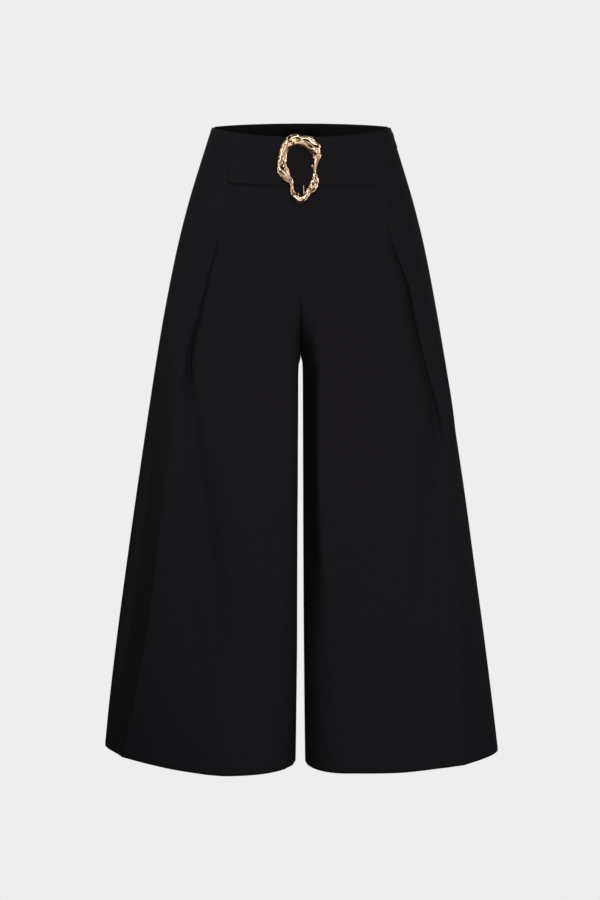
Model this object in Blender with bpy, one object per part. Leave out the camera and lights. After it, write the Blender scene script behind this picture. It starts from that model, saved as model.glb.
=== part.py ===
"""Wide-leg cropped trousers, filled out as if worn, with nobody in them.

Metres, +Z up. The front faces -Y and the wearer's left leg is at +X. The
origin is the middle of the waist opening, level with its highest edge.

Each half of the trousers is a front and a back, cut from the waist to the hem.
A front carries one pressed pleat: it is stitched down from the waist to the
hip, and below that its under-fold runs out until the cloth is single again.
Every panel is worked out as a level section at each height, from the tables
below, and is then thickened into a wall of cloth.
"""

import math

import bmesh
import bpy
import numpy as np

MM = 0.001

# ---------------------------------------------------------------- driving sizes, mm
CLOTH = 1.4  # wall of the suiting, with the turned edges averaged in
SEAM_GAP = 0.3  # between two panels that are sewn together
LAY_GAP = 0.3  # between a panel and what lies on it

WAIST_SIDE_DROP = 3.0  # waist edge below the origin, at the side seam
WAIST_FRONT_DROP = 12.4  # and at the middle of the front
WAIST_BACK_DROP = 0.0  # and at the middle of the back
HEM_Z = -862.0
HEM_SIDE_RISE = {"left": 8.0, "right": 2.0}
WIDEST_Y = 6.0  # plane of the garment's widest line, where its front turns into its back
INSEAM_Y = 4.0

CROTCH_TOP_Z = -205.0  # the seams start to curve under here
CROTCH_Z = -304.0  # lowest point of the crotch seam

BELT_TOP_Z = -20.5
BELT_BOTTOM_Z = -74.5
BELT_CLOTH = 1.6
BELT_BAR_LIFT = 2.9  # how far the belt stands off where it passes over the bar
BELT_LIFT_REACH = 38.0

LABEL_SIZE = (50.0, 22.0)
LABEL_TOP_Z = -6.3
LABEL_X = 1.6
LABEL_CLOTH = 1.0

BAR_X = 3.5
BAR_LEAN = 1.1  # the bar's ends lie this far to either side of BAR_X
BAR_RADIUS = 1.2
BAR_SPAN_Z = (-16.5, -91.5)
POST_RADIUS = 1.6
RING_BACK = 6.0  # back of the ring, in front of the middle of the front's wall
RING_CENTRE_Z = -55.2

# The concealed zip in the side seam of the wearer's left: its tape is inside, and
# only its slider and pull tab show.
ZIP_TOP_Z = -5.0
ZIP_BOTTOM_Z = -190.0
ZIP_TAPE_HALF = 9.0
ZIP_TAPE_CLOTH = 1.0
SLIDER_Z = -14.0
SLIDER_PLATE = (4.8, 8.4, 0.8)  # across, along the seam, thick
SLIDER_ARCH = (1.3, 7.2, 0.65)  # across, along, thickness of its metal
SLIDER_WINDOW = 1.6  # clear height under the arch
PULL_LENGTH = 19.0
PULL_THICK = 0.9
PULL_HALF_TOP = 2.1
PULL_HALF_END = 2.8
PULL_SLOT = (2.2, 4.0)  # across, along
PULL_OVER_PLATE = 0.35

# ---------------------------------------------------------------- tables, mm


def columns(names, rows):
    """A table: each column's values by its name, with z in the first column, falling."""
    values = np.array(rows, float)
    return dict(zip(names.split(), values.T))


def at(table, name, z):
    """A column's value at a height, on a smooth curve through the table's rows."""
    h, v = -table["z"], table[name]
    x = min(max(-z, h[0]), h[-1])
    i = min(max(int(np.searchsorted(h, x)) - 1, 0), len(h) - 2)
    step = h[i + 1] - h[i]

    def slope(k):
        if k == 0:
            return (v[1] - v[0]) / (h[1] - h[0])
        if k == len(h) - 1:
            return (v[-1] - v[-2]) / (h[-1] - h[-2])
        a = (v[k] - v[k - 1]) / (h[k] - h[k - 1])
        b = (v[k + 1] - v[k]) / (h[k + 1] - h[k])
        return 0.0 if a * b <= 0 else 2 * a * b / (a + b)

    t = (x - h[i]) / step
    m0, m1 = slope(i) * step, slope(i + 1) * step
    return (
        (2 * t**3 - 3 * t**2 + 1) * v[i]
        + (t**3 - 2 * t**2 + t) * m0
        + (3 * t**2 - 2 * t**3) * v[i + 1]
        + (t**3 - t**2) * m1
    )


# Outside sizes of the whole garment: from the middle plane to each side, and from
# the plane of the side seams to the front of each leg and to the back. The powers
# say how round the turn to the side is (2 is an ellipse, more is squarer).
BODY = columns(
    "z half_left half_right front_left front_right back power_left power_right power_back",
    [
        (0, 117.8, 120.0, 88.0, 88.0, 88.0, 2.20, 2.20, 2.15),
        (-50, 134.2, 135.9, 96.0, 96.0, 99.0, 2.20, 2.20, 2.20),
        (-100, 149.7, 151.2, 103.0, 103.0, 110.0, 2.20, 2.20, 2.20),
        (-150, 163.0, 164.3, 108.0, 108.0, 118.0, 2.15, 2.20, 2.20),
        (-200, 174.1, 175.1, 111.0, 111.0, 122.0, 2.10, 2.15, 2.20),
        (-250, 184.0, 184.6, 112.5, 112.0, 121.0, 2.05, 2.10, 2.15),
        (-300, 193.1, 193.6, 113.0, 112.0, 118.5, 2.00, 2.05, 2.10),
        (-400, 209.5, 209.6, 113.5, 111.5, 115.5, 1.90, 2.00, 2.00),
        (-500, 224.9, 225.3, 114.5, 111.0, 114.5, 1.80, 1.95, 1.95),
        (-600, 239.7, 239.7, 115.5, 110.5, 115.0, 1.70, 1.90, 1.90),
        (-700, 253.9, 254.0, 117.0, 110.0, 116.5, 1.60, 1.85, 1.85),
        (-800, 266.3, 267.4, 119.0, 109.5, 118.5, 1.55, 1.80, 1.80),
        (-862, 272.8, 275.1, 120.0, 109.5, 120.0, 1.50, 1.80, 1.80),
    ],
)

# How far out the flat of the front and of the back runs before it turns.
FLAT = columns(
    "z front_left front_right back_left back_right",
    [
        (0, 0, 0, 0, 0),
        (-180, 0, 0, 0, 0),
        (-304, 30, 30, 30, 34),
        (-500, 58, 56, 60, 66),
        (-700, 84, 78, 84, 90),
        (-862, 97, 90, 100, 104),
    ],
)

# The inner corner of each leg, where the front or the back turns in between the
# legs: its width across the front, its depth, and how full its turn is (2 is a
# quarter of an ellipse, and 1 is a flat slope that ends in a corner).
CORNER = columns(
    "z wide_left deep_left full_left wide_right deep_right full_right wide_back deep_back",
    [
        (0, 24, 20, 2.0, 24, 20, 2.0, 24, 20),
        (-205, 26, 30, 2.0, 26, 30, 1.9, 28, 30),
        (-304, 26, 34, 2.0, 26, 52, 1.5, 36, 40),
        (-350, 19, 30, 2.0, 19, 70, 1.3, 38, 43),
        (-420, 16, 28, 2.0, 18, 74, 1.3, 41, 47),
        (-540, 24, 34, 2.0, 22, 70, 1.4, 48, 54),
        (-620, 36, 42, 2.0, 34, 62, 1.7, 52, 59),
        (-700, 54, 54, 2.0, 46, 60, 2.0, 58, 66),
        (-862, 80, 75, 2.0, 55, 65, 2.0, 68, 76),
    ],
)

# Half of the gap between the legs.
GAP = columns(
    "z half",
    [
        (-304, 0.4),
        (-313, 1.9),
        (-332, 2.5),
        (-470, 3.05),
        (-580, 3.7),
        (-690, 4.2),
        (-800, 5.2),
        (-862, 5.9),
    ],
)

# How far behind the widest line the side seams run, along the cloth.
SIDE_SEAM = columns(
    "z back",
    [
        (0, 20),
        (-200, 16),
        (-500, 9),
        (-862, 3),
    ],
)

# The pleats. edge: the fold's edge from the middle plane. under: the straight run
# of the layer that is folded back. turn: how far each fold turns (180 is pressed
# flat, 0 is no fold). arc: length of cloth in each turn.
PLEAT = {
    "left": columns(
        "z edge under turn arc",
        [
            (0, 95.6, 22, 180, 3.5),
            (-72, 95.6, 22, 180, 3.5),
            (-95, 98.9, 23, 180, 3.5),
            (-148, 109.4, 24, 180, 3.5),
            (-213, 128.0, 16, 180, 3.5),
            (-248, 137.4, 10, 180, 3.5),
            (-279, 145.5, 4.5, 172, 3.7),
            (-305, 149.0, 1.6, 128, 4.4),
            (-340, 149.0, 1.6, 66, 6.0),
            (-400, 146.0, 2.4, 26, 8.5),
            (-480, 142.0, 3.5, 10, 11.0),
            (-862, 136.0, 6.0, 1.5, 15.0),
        ],
    ),
    "right": columns(
        "z edge under turn arc",
        [
            (0, 106.1, 20, 180, 3.5),
            (-72, 107.5, 21, 180, 3.5),
            (-104, 110.8, 22, 180, 3.5),
            (-134, 116.7, 24, 180, 3.5),
            (-211, 145.2, 20, 180, 3.5),
            (-255, 156.0, 14, 180, 3.5),
            (-288, 162.8, 9.5, 180, 3.5),
            (-335, 174.5, 4.5, 174, 3.7),
            (-375, 184.0, 1.6, 134, 4.4),
            (-415, 188.0, 1.6, 70, 6.0),
            (-480, 191.0, 2.4, 26, 8.5),
            (-560, 193.0, 3.5, 10, 10.0),
            (-862, 196.0, 4.0, 1.5, 12.0),
        ],
    ),
}
PLEAT_SETTLE = 52.0  # how far either side of a pleat the cloth comes back to level

# The long crease down the outside of each leg: where it runs, how proud it is and
# half its width.
CREASE = {
    "left": columns(
        "z x proud wide",
        [
            (0, 107.0, 0, 14),
            (-148, 150.0, 0, 14),
            (-213, 171.0, 0.4, 15),
            (-254, 175.0, 3.0, 18),
            (-297, 170.0, 5.6, 21),
            (-330, 167.5, 7.2, 23),
            (-360, 168.0, 8.0, 24),
            (-391, 170.5, 8.0, 24),
            (-455, 178.2, 8.0, 24),
            (-547, 188.6, 8.0, 23),
            (-656, 201.0, 7.6, 22),
            (-741, 216.2, 7.0, 20),
            (-825, 233.6, 6.0, 18),
            (-862, 241.5, 5.4, 17),
        ],
    ),
    "right": columns(
        "z x proud wide",
        [
            (0, 112.6, 0, 13),
            (-104, 131.0, 0, 13),
            (-170, 146.0, 0.8, 13),
            (-211, 161.0, 1.8, 13),
            (-267, 178.0, 2.4, 13),
            (-306, 187.0, 2.8, 13),
            (-368, 196.8, 3.6, 13),
            (-415, 200.4, 4.2, 14),
            (-516, 206.6, 4.4, 14),
            (-619, 211.4, 4.4, 14),
            (-756, 215.6, 4.2, 14),
            (-862, 220.0, 3.6, 14),
        ],
    ),
}

# The largest soft folds, one row each: the panel, the top and bottom of its line,
# how far it comes forward (less than 0 is a trough) and half its width.
FOLDS = [
    # panel, x_top, z_top, x_bottom, z_bottom, rise, width
    ("front_left", 134.0, -335.0, 112.0, -690.0, -4.0, 17.0),
    ("front_left", 92.0, -420.0, 104.0, -862.0, 2.6, 24.0),
    ("front_right", 181.0, -400.0, 160.0, -650.0, -3.0, 13.0),
    ("front_right", 118.0, -430.0, 138.0, -862.0, 2.2, 26.0),
    ("back_left", 96.0, -270.0, 120.0, -800.0, -4.5, 22.0),
    ("back_left", 150.0, -330.0, 196.0, -862.0, 4.0, 24.0),
    ("back_right", 88.0, -300.0, 104.0, -862.0, -4.0, 22.0),
    ("back_right", 142.0, -260.0, 182.0, -862.0, 4.5, 26.0),
]

# The heights at which every panel has a section. The last few before the crotch
# are close together, because the seam turns under there.
ROWS = (
    0.0, BELT_TOP_Z, -47.0, BELT_BOTTOM_Z, -98.0, -122.0, -148.0, -178.0,
    CROTCH_TOP_Z, -232.0, -255.0, -273.0, -286.0, -295.5, -301.5, CROTCH_Z,
    -318.0, -345.0, -385.0, -440.0, -510.0, -600.0, -700.0, -790.0, HEM_Z,
)  # fmt: skip

# The buckle's ring, seen from the front: the middle of its limb across and up
# from the ring's centre, half the limb's width, and half its height off the cloth.
RING = columns(
    "x up half_width half_height",
    [
        (-5.6, 37.9, 7.7, 4.4),
        (1.3, 36.4, 6.4, 4.0),
        (8.1, 35.2, 8.0, 4.4),
        (15.2, 31.3, 9.3, 4.5),
        (19.6, 24.7, 7.8, 4.4),
        (20.8, 17.4, 5.8, 3.8),
        (20.0, 7.9, 3.1, 3.1),
        (19.0, 2.1, 2.2, 2.8),
        (18.4, -2.5, 2.3, 2.8),
        (19.2, -8.0, 3.4, 3.2),
        (19.6, -14.1, 4.5, 3.5),
        (17.9, -19.2, 6.2, 3.9),
        (15.6, -24.0, 6.6, 4.0),
        (11.8, -28.8, 4.7, 3.5),
        (8.5, -35.4, 3.7, 3.2),
        (0.0, -38.6, 4.5, 3.5),
        (-5.2, -36.1, 4.2, 3.4),
        (-9.4, -30.6, 3.7, 3.2),
        (-11.0, -22.6, 2.5, 2.9),
        (-11.7, -17.1, 3.5, 3.2),
        (-15.7, -12.6, 5.6, 3.8),
        (-20.0, -8.0, 7.4, 4.3),
        (-22.6, -1.4, 7.8, 4.4),
        (-23.7, 5.4, 6.8, 4.1),
        (-23.4, 10.6, 5.8, 3.8),
        (-22.4, 17.8, 5.3, 3.7),
        (-20.1, 26.1, 5.8, 3.8),
        (-16.6, 32.1, 6.7, 4.1),
        (-11.6, 36.6, 7.6, 4.3),
    ],
)
RING_STEPS = 2  # sections for each row of the table
RING_SIDES = 10


# ---------------------------------------------------------------- one level section


def smooth(t):
    t = min(max(t, 0.0), 1.0)
    return t * t * (3 - 2 * t)


def seam_recess(z, reach):
    """How far the middle seam lies behind the front (or before the back) at a height: none
    above the crotch, then a quarter of an ellipse down to the inseam."""
    if z >= CROTCH_TOP_Z:
        return 0.0
    if z <= CROTCH_Z:
        return reach
    drop = (CROTCH_TOP_Z - z) / (CROTCH_TOP_Z - CROTCH_Z)
    return reach * (1 - math.sqrt(max(0.0, 1 - drop * drop)))


def base_section(panel, z):
    """The middle of a panel's wall at one height, with no pleat or fold: points from the
    middle seam or inseam round to the side seam, for a half that lies at +x.

    Returns the points, where along them the inner corner ends, and the side's reach."""
    face, side = panel.split("_")
    half = CLOTH / 2
    wide = at(BODY, "half_" + side, z) - half
    if face == "front":
        deep = at(BODY, "front_" + side, z) - half
        power = at(BODY, "power_" + side, z)
        corner_w = at(CORNER, "wide_" + side, z)
        corner_d = at(CORNER, "deep_" + side, z)
        full = at(CORNER, "full_" + side, z)
        to_side, to_inseam = deep + WIDEST_Y, deep + INSEAM_Y
    else:
        deep = at(BODY, "back", z) - half
        power = at(BODY, "power_back", z)
        corner_w = at(CORNER, "wide_back", z)
        corner_d = at(CORNER, "deep_back", z)
        full = 2.0
        to_side, to_inseam = deep - WIDEST_Y, deep - INSEAM_Y
    flat = at(FLAT, face + "_" + side, z)
    recess = seam_recess(z, to_inseam)
    inner = (half + 0.35) * min(1.0, recess / 4.0)
    if z < CROTCH_Z:
        inner = at(GAP, "half", z) + half

    def behind(x):
        """How far the face has turned back at x."""
        share = min(max((x - flat) / (wide - flat), 0.0), 1.0)
        return to_side * (1 - (1 - share**power) ** (1 / power))

    points = []
    round_d = min(recess, corner_d)
    for k in range(8):
        if recess > corner_d:
            points.append((inner, recess - (recess - corner_d) * k / 8))
    for k in range(17):
        turn = math.pi / 2 * k / 16
        x = inner + corner_w * (1 - max(0.0, math.cos(turn)) ** (2 / full))
        points.append((x, behind(x) + round_d * (1 - math.sin(turn) ** (2 / full))))
    corner_at = len(points) - 1
    start = points[-1][0]
    for k in range(1, 13):
        if flat > start + 1:
            x = start + (flat - start) * k / 12
            points.append((x, behind(x)))
    start = max(points[-1][0], flat)
    first = math.asin(min(1.0, ((start - flat) / (wide - flat)) ** (power / 2)))
    for k in range(1, 61):
        turn = first + (math.pi / 2 - first) * k / 60
        x = flat + (wide - flat) * math.sin(turn) ** (2 / power)
        points.append((x, to_side * (1 - max(0.0, math.cos(turn)) ** (2 / power))))
    line = np.array(points)
    sign = -1 if face == "front" else 1
    line[:, 1] = sign * (deep - line[:, 1])
    return line, corner_at


class Line:
    """A curve in one level, read by length along it, with its outward normal."""

    def __init__(self, points, outward):
        step = np.linalg.norm(np.diff(points, axis=0), axis=1)
        keep = np.concatenate([[True], step > 1e-6])
        self.p = points[keep]
        self.s = np.concatenate(
            [[0], np.cumsum(np.linalg.norm(np.diff(self.p, axis=0), axis=1))]
        )
        t = np.gradient(self.p, self.s, axis=0)
        t /= np.linalg.norm(t, axis=1)[:, None]
        self.n = np.stack([t[:, 1], -t[:, 0]], 1) * outward
        self.length = self.s[-1]

    def at_x(self, x):
        """The length at which the outer part of the curve passes x."""
        i = int(np.argmax(self.p[:, 0] >= x))
        if i == 0:
            return self.length
        a, b = self.p[i - 1, 0], self.p[i, 0]
        return self.s[i - 1] + (self.s[i] - self.s[i - 1]) * (x - a) / (b - a)

    def point(self, s, out=0.0):
        s = min(max(s, 0.0), self.length)
        p = np.array([np.interp(s, self.s, self.p[:, k]) for k in (0, 1)])
        n = np.array([np.interp(s, self.s, self.n[:, k]) for k in (0, 1)])
        return p + n / np.linalg.norm(n) * out


def pleat_curve(under, turn_deg, arc, steps):
    """The S of a pleat about the middle of its folded-back layer: (along, out) points."""
    turn = math.radians(max(turn_deg, 0.5))
    r = arc / turn
    first = [(r * math.sin(turn * k / steps), r * (1 - math.cos(turn * k / steps))) for k in range(steps + 1)]
    mid = (
        first[-1][0] + under / 2 * math.cos(turn),
        first[-1][1] + under / 2 * math.sin(turn),
    )
    lower = [(a - mid[0], d - mid[1]) for a, d in first]
    return lower + [(-a, -d) for a, d in reversed(lower)], r


def folds_at(panel, x, z):
    """The soft folds' rise at a place on a panel."""
    total = 0.0
    for name, x0, z0, x1, z1, rise, width in FOLDS:
        if name != panel or not z1 - 60 <= z <= z0 + 60:
            continue
        t = (z - z0) / (z1 - z0)
        fade = smooth((t + 0.16) / 0.4) * (1.0 if z1 <= HEM_Z + 1 else smooth((1.16 - t) / 0.4))
        centre = x0 + (x1 - x0) * t
        total += rise * fade * math.exp(-(((x - centre) / width) ** 2))
    return total


FRONT_CORNER, FRONT_MIDDLE, FRONT_UNDER, PLEAT_TURN, FRONT_OUTER, FRONT_SIDE = 5, 5, 2, 4, 3, 5
BACK_CORNER, BACK_MIDDLE = 5, 9
CORNER_REACH = 74.0


def panel_line(panel, z):
    """A panel's level section from its middle seam to its side seam, and where its inner
    corner ends. The side seam lies a little behind the widest line, so a front takes in
    the first of the back's turn."""
    side = panel.split("_")[1]
    points, corner_at = base_section(panel, z)
    shift = at(SIDE_SEAM, "back", z)
    turned = (points if panel.startswith("back") else base_section("back_" + side, z)[0])[::-1]
    run = np.concatenate([[0], np.cumsum(np.linalg.norm(np.diff(turned, axis=0), axis=1))])
    cut = np.array([np.interp(shift, run, turned[:, k]) for k in (0, 1)])
    if panel.startswith("back"):
        kept = turned[run > shift + 0.2][::-1]
        points = np.vstack([kept, cut])
        line = Line(points, -1)
    else:
        extra = turned[(run > 0.2) & (run < shift - 0.2)]
        points = np.vstack([points, extra, cut])
        line = Line(points, 1)
    return line, line.s[corner_at]


def corner_places(first, corner, steps, reach):
    """Where the inner corner's points go: evenly over its last stretch, and one for the straight before it."""
    near = min((corner - first) * (steps - 1) / steps, reach)
    return [first] + [corner - near + near * k / (steps - 1) for k in range(steps - 1)]


def front_row(panel, z):
    """The points of a front's wall (its middle) at one height."""
    side = panel.split("_")[1]
    line, corner = panel_line(panel, z)
    pleat, crease = PLEAT[side], CREASE[side]
    under, turn = at(pleat, "under", z), at(pleat, "turn", z)
    curve, r = pleat_curve(under, turn, at(pleat, "arc", z), PLEAT_TURN)
    hidden = max(0.0, -math.cos(math.radians(turn)))
    centre = line.at_x(at(pleat, "edge", z)) + (under / 2 + r) * hidden
    edge = centre - (under / 2 + r) * hidden
    level = curve[-1][1]  # the top layer's height, and minus the lower layer's
    fold_start, fold_end = centre + curve[0][0], centre + curve[-1][0]
    lip = min(edge, fold_start)
    gate = min(edge - 3.2 - 14 * (1 - hidden), fold_start - 4.0)  # just before the fold's edge
    ridge = max(line.at_x(at(crease, "x", z)), fold_end + 6)
    proud, crease_wide = at(crease, "proud", z), at(crease, "wide", z)

    def lower(s):
        return -level * smooth(1 - (lip - s) / PLEAT_SETTLE)

    def upper(s):
        return level * smooth(1 - (s - fold_end - under - 4) / PLEAT_SETTLE)

    def soft(s):
        x = line.point(s)[0]
        rise = folds_at(panel, x, z)
        return rise + proud * math.exp(-abs(s - ridge) / crease_wide)

    out = []

    def run(a, b, steps, rise, last=False):
        for k in range(steps + (1 if last else 0)):
            s = a + (b - a) * k / steps
            out.append(line.point(s, rise(s)))

    first = SEAM_GAP / 2
    for s in corner_places(first, corner, FRONT_CORNER, CORNER_REACH):
        out.append(line.point(s, lower(s) + soft(s) * smooth(s / corner)))
    run(corner, gate, FRONT_MIDDLE, lambda s: lower(s) + soft(s))
    run(gate, fold_start, FRONT_UNDER, lambda s: lower(s) + soft(gate))
    for a, d in curve:
        out.append(line.point(centre + a, d + soft(gate) + (soft(fold_end) - soft(gate)) * (d + level) / max(2 * level, 1e-6)))
    rest = []
    for k in range(1, FRONT_OUTER + 1):
        rest.append(fold_end + (ridge - fold_end) * k / FRONT_OUTER)
    last = line.length - SEAM_GAP / 2
    for k in range(1, FRONT_SIDE + 1):
        rest.append(ridge + (last - ridge) * k / FRONT_SIDE)
    for s in rest:
        ease = smooth((line.length - s) / 25)
        out.append(line.point(s, upper(s) * ease + soft(s) * ease))
    return np.array(out)


def back_row(panel, z):
    """The points of a back's wall (its middle) at one height."""
    line, corner = panel_line(panel, z)
    out = []
    first, last = SEAM_GAP / 2, line.length - SEAM_GAP / 2
    places = corner_places(first, corner, BACK_CORNER, CORNER_REACH)
    places += [corner + (last - corner) * k / BACK_MIDDLE for k in range(BACK_MIDDLE + 1)]
    for s in places:
        x = line.point(s)[0]
        ease = smooth(s / corner) * smooth((line.length - s) / 25)
        out.append(line.point(s, folds_at(panel, x, z) * ease))
    return np.array(out)


def row_of(panel, z):
    return front_row(panel, z) if panel.startswith("front") else back_row(panel, z)


def edge_shift(panel, row, point):
    """How far a point of the top or bottom row moves down or up, to follow the waist edge or the hem."""
    face, side = panel.split("_")
    if row == 0:
        deep = at(BODY, "front_" + side if face == "front" else "back", 0.0)
        turn = min(1.0, abs(point[1]) / deep)
        end = WAIST_FRONT_DROP if face == "front" else WAIST_BACK_DROP
        return -(WAIST_SIDE_DROP + (end - WAIST_SIDE_DROP) * turn * turn)
    if row == len(ROWS) - 1:
        wide = at(BODY, "half_" + side, HEM_Z)
        flat = at(FLAT, face + "_" + side, HEM_Z)
        share = min(max((point[0] - flat) / (wide - flat), 0.0), 1.0)
        return HEM_SIDE_RISE[side] * share * share
    return 0.0


def panel_points(panel):
    """The middle of a panel's wall: rows by columns by (x, y, z), for a half at +x, and its outward normals."""
    rows = []
    for i, z in enumerate(ROWS):
        level = row_of(panel, z)
        if i in (0, len(ROWS) - 1):
            moved = []
            for j, p in enumerate(level):
                zz = z + edge_shift(panel, i, p)
                moved.append((*row_of(panel, zz)[j], zz))
            rows.append(moved)
        else:
            rows.append([(*p, z) for p in level])
    points = np.array(rows)
    outward = 1 if panel.startswith("front") else -1
    ahead = np.diff(points[:, :, :2], axis=1)
    ahead /= np.maximum(np.linalg.norm(ahead, axis=2), 1e-9)[:, :, None]
    a = np.concatenate([ahead[:, :1], ahead], axis=1)
    b = np.concatenate([ahead, ahead[:, -1:]], axis=1)
    t = a + b
    t /= np.linalg.norm(t, axis=2)[:, :, None]
    normal = np.stack([t[:, :, 1], -t[:, :, 0], np.zeros(t.shape[:2])], 2) * outward
    normal /= np.clip((t * a).sum(2), 0.8, 1.0)[:, :, None]
    # The two walls of a seam end square to it, so that they meet along their whole thickness.
    for i in range(len(ROWS)):
        line, _ = panel_line(panel, points[i, -1, 2])
        normal[i, -1, :2] = line.n[-1]
    normal[[i for i, z in enumerate(ROWS) if z <= CROTCH_Z], 0] = (-1.0, 0.0, 0.0)
    return points, normal


# ---------------------------------------------------------------- meshes


def clear_scene():
    for obj in list(bpy.data.objects):
        bpy.data.objects.remove(obj, do_unlink=True)
    for mesh in list(bpy.data.meshes):
        bpy.data.meshes.remove(mesh)


def finish_for(name, colour, rough, metal=0.0):
    """A material with the piece's colour."""
    material = bpy.data.materials.new(name)
    material.use_nodes = True
    shader = material.node_tree.nodes["Principled BSDF"]
    shader.inputs["Base Color"].default_value = (*colour, 1.0)
    shader.inputs["Roughness"].default_value = rough
    shader.inputs["Metallic"].default_value = metal
    return material


def object_from(name, verts, faces, material):
    mesh = bpy.data.meshes.new(name)
    mesh.from_pydata([tuple(v * MM for v in p) for p in verts], [], faces)
    bm = bmesh.new()
    bm.from_mesh(mesh)
    bmesh.ops.recalc_face_normals(bm, faces=bm.faces)
    if bm.calc_volume(signed=True) < 0:
        bmesh.ops.reverse_faces(bm, faces=bm.faces)
    bm.to_mesh(mesh)
    bm.free()
    mesh.shade_smooth()
    obj = bpy.data.objects.new(name, mesh)
    bpy.context.scene.collection.objects.link(obj)
    mesh.materials.append(material)
    return obj


def wall(name, front, back, material):
    """A closed wall between two grids of points of the same size."""
    rows, cols = front.shape[:2]
    verts = [tuple(p) for p in front.reshape(-1, 3)] + [tuple(p) for p in back.reshape(-1, 3)]
    half = rows * cols

    def v(i, j, inside=False):
        return i * cols + j + (half if inside else 0)

    faces = []
    for i in range(rows - 1):
        for j in range(cols - 1):
            # Each square is split along its shorter diagonal, so that pieces which lie on
            # each other are faceted alike.
            one = np.linalg.norm(front[i, j] - front[i + 1, j + 1])
            two = np.linalg.norm(front[i + 1, j] - front[i, j + 1])
            a, b, c, d = (i, j), (i + 1, j), (i + 1, j + 1), (i, j + 1)
            for t in ((a, b, c), (a, c, d)) if one <= two else ((a, b, d), (b, c, d)):
                faces.append(tuple(v(*k) for k in t))
                faces.append(tuple(v(*k, True) for k in reversed(t)))
        faces.append((v(i, 0), v(i, 0, True), v(i + 1, 0, True), v(i + 1, 0)))
        faces.append((v(i, cols - 1), v(i + 1, cols - 1), v(i + 1, cols - 1, True), v(i, cols - 1, True)))
    for j in range(cols - 1):
        faces.append((v(0, j), v(0, j + 1), v(0, j + 1, True), v(0, j, True)))
        faces.append((v(rows - 1, j), v(rows - 1, j, True), v(rows - 1, j + 1, True), v(rows - 1, j + 1)))
    return object_from(name, verts, faces, material)


def cloth_panel(panel, material):
    """One cut piece. Returns its outer and inner points, on its own side of the garment."""
    points, normal = panel_points(panel)
    outer, inner = points + normal * CLOTH / 2, points - normal * CLOTH / 2
    for grid in (outer, inner):
        grid[:, :, 0] = np.maximum(grid[:, :, 0], SEAM_GAP / 2)
        if panel.endswith("left"):
            grid[:, :, 0] *= -1
    wall(panel, outer, inner, material)
    return outer, inner


def across(left, right, row):
    """One row of two panels as a single line, from the left one's outer end to the right one's."""
    return np.concatenate([left[row][::-1], right[row]])


def along(line, x):
    """The point and outward normal of a line of points that rises in x, at x."""
    i = min(max(int(np.searchsorted(line[:, 0], x)) - 1, 0), len(line) - 2)
    a, b = line[i], line[i + 1]
    t = (x - a[0]) / (b[0] - a[0])
    d = (b - a)[:2] / np.linalg.norm((b - a)[:2])
    return a + (b - a) * t, np.array([d[1], -d[0], 0.0])


def belt_lift(x):
    """How far the belt stands off the front at x, to pass over the bar."""
    return BELT_BAR_LIFT * smooth(1 - (abs(x - BAR_X) - 2.2) / BELT_LIFT_REACH)


def belt_panel(left, right, material):
    """The wide belt across the front: it lies on the fronts between the two pleats."""
    rows = [ROWS.index(z) for z in (BELT_TOP_Z, -47.0, BELT_BOTTOM_Z)]
    last = FRONT_CORNER + FRONT_MIDDLE  # the column just before the pleat's edge
    fronts, backs = [], []
    for row in rows:
        line = across(left[:, : last + 1], right[:, : last + 1], row)
        places = list(line[:, 0]) + [BAR_X + d for d in (-30, -20, -12, -7, -3.5, 3.5, 7, 12, 20, 30)] + [BAR_X]
        places = sorted(x for x in places if abs(x) > 0.5)
        front, back = [], []
        for x in places:
            p, n = along(line, x)
            # The normal is smoothed over the facets on either side.
            n = along(line, max(x - 4, line[0, 0]))[1] + along(line, min(x + 4, line[-1, 0]))[1] + n
            n /= np.linalg.norm(n)
            off = LAY_GAP + belt_lift(x)
            back.append(p + n * off)
            front.append(p + n * (off + BELT_CLOTH))
        fronts.append(front)
        backs.append(back)
    wall("belt_panel", np.array(fronts), np.array(backs), material)


def label(left, right, material):
    """The bare label on the inside of the back, below the waist edge."""
    fronts, backs = [], []
    for drop in (0.0, 0.5, 1.0):
        z = LABEL_TOP_Z - LABEL_SIZE[1] * drop
        line = []
        for grid, keep in ((left, slice(None, None, -1)), (right, slice(None))):
            for column in grid.transpose(1, 0, 2)[keep]:
                down = -column[:, 2]
                line.append([np.interp(-z, down, column[:, k]) for k in (0, 1, 2)])
        line = np.array(line)
        low, high = LABEL_X - LABEL_SIZE[0] / 2, LABEL_X + LABEL_SIZE[0] / 2
        places = [low] + [x for x in line[:, 0] if low + 1 < x < high - 1 and abs(x) > 0.5] + [high]
        front, back = [], []
        for x in places:
            p, n = along(line, x)
            front.append(p + n * (LAY_GAP + LABEL_CLOTH))
            back.append(p + n * LAY_GAP)
        fronts.append(front)
        backs.append(back)
    wall("label", np.array(fronts), np.array(backs), material)


# ---------------------------------------------------------------- the buckle


def front_middle(z):
    """The middle of the fronts' wall on the middle plane."""
    return -(at(BODY, "front_right", z) - CLOTH / 2)


def ring_frame():
    """Centre, across, up and outward directions of the ring, which leans as the front does."""
    top, bottom = RING_CENTRE_Z + 38, RING_CENTRE_Z - 38
    lean = np.array([0.0, front_middle(top) - front_middle(bottom), top - bottom])
    up = lean / np.linalg.norm(lean)
    across_x = np.array([1.0, 0.0, 0.0])
    outward = np.cross(across_x, up)
    centre = np.array([0.0, front_middle(RING_CENTRE_Z), RING_CENTRE_Z])
    return centre, across_x, up, outward


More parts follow.
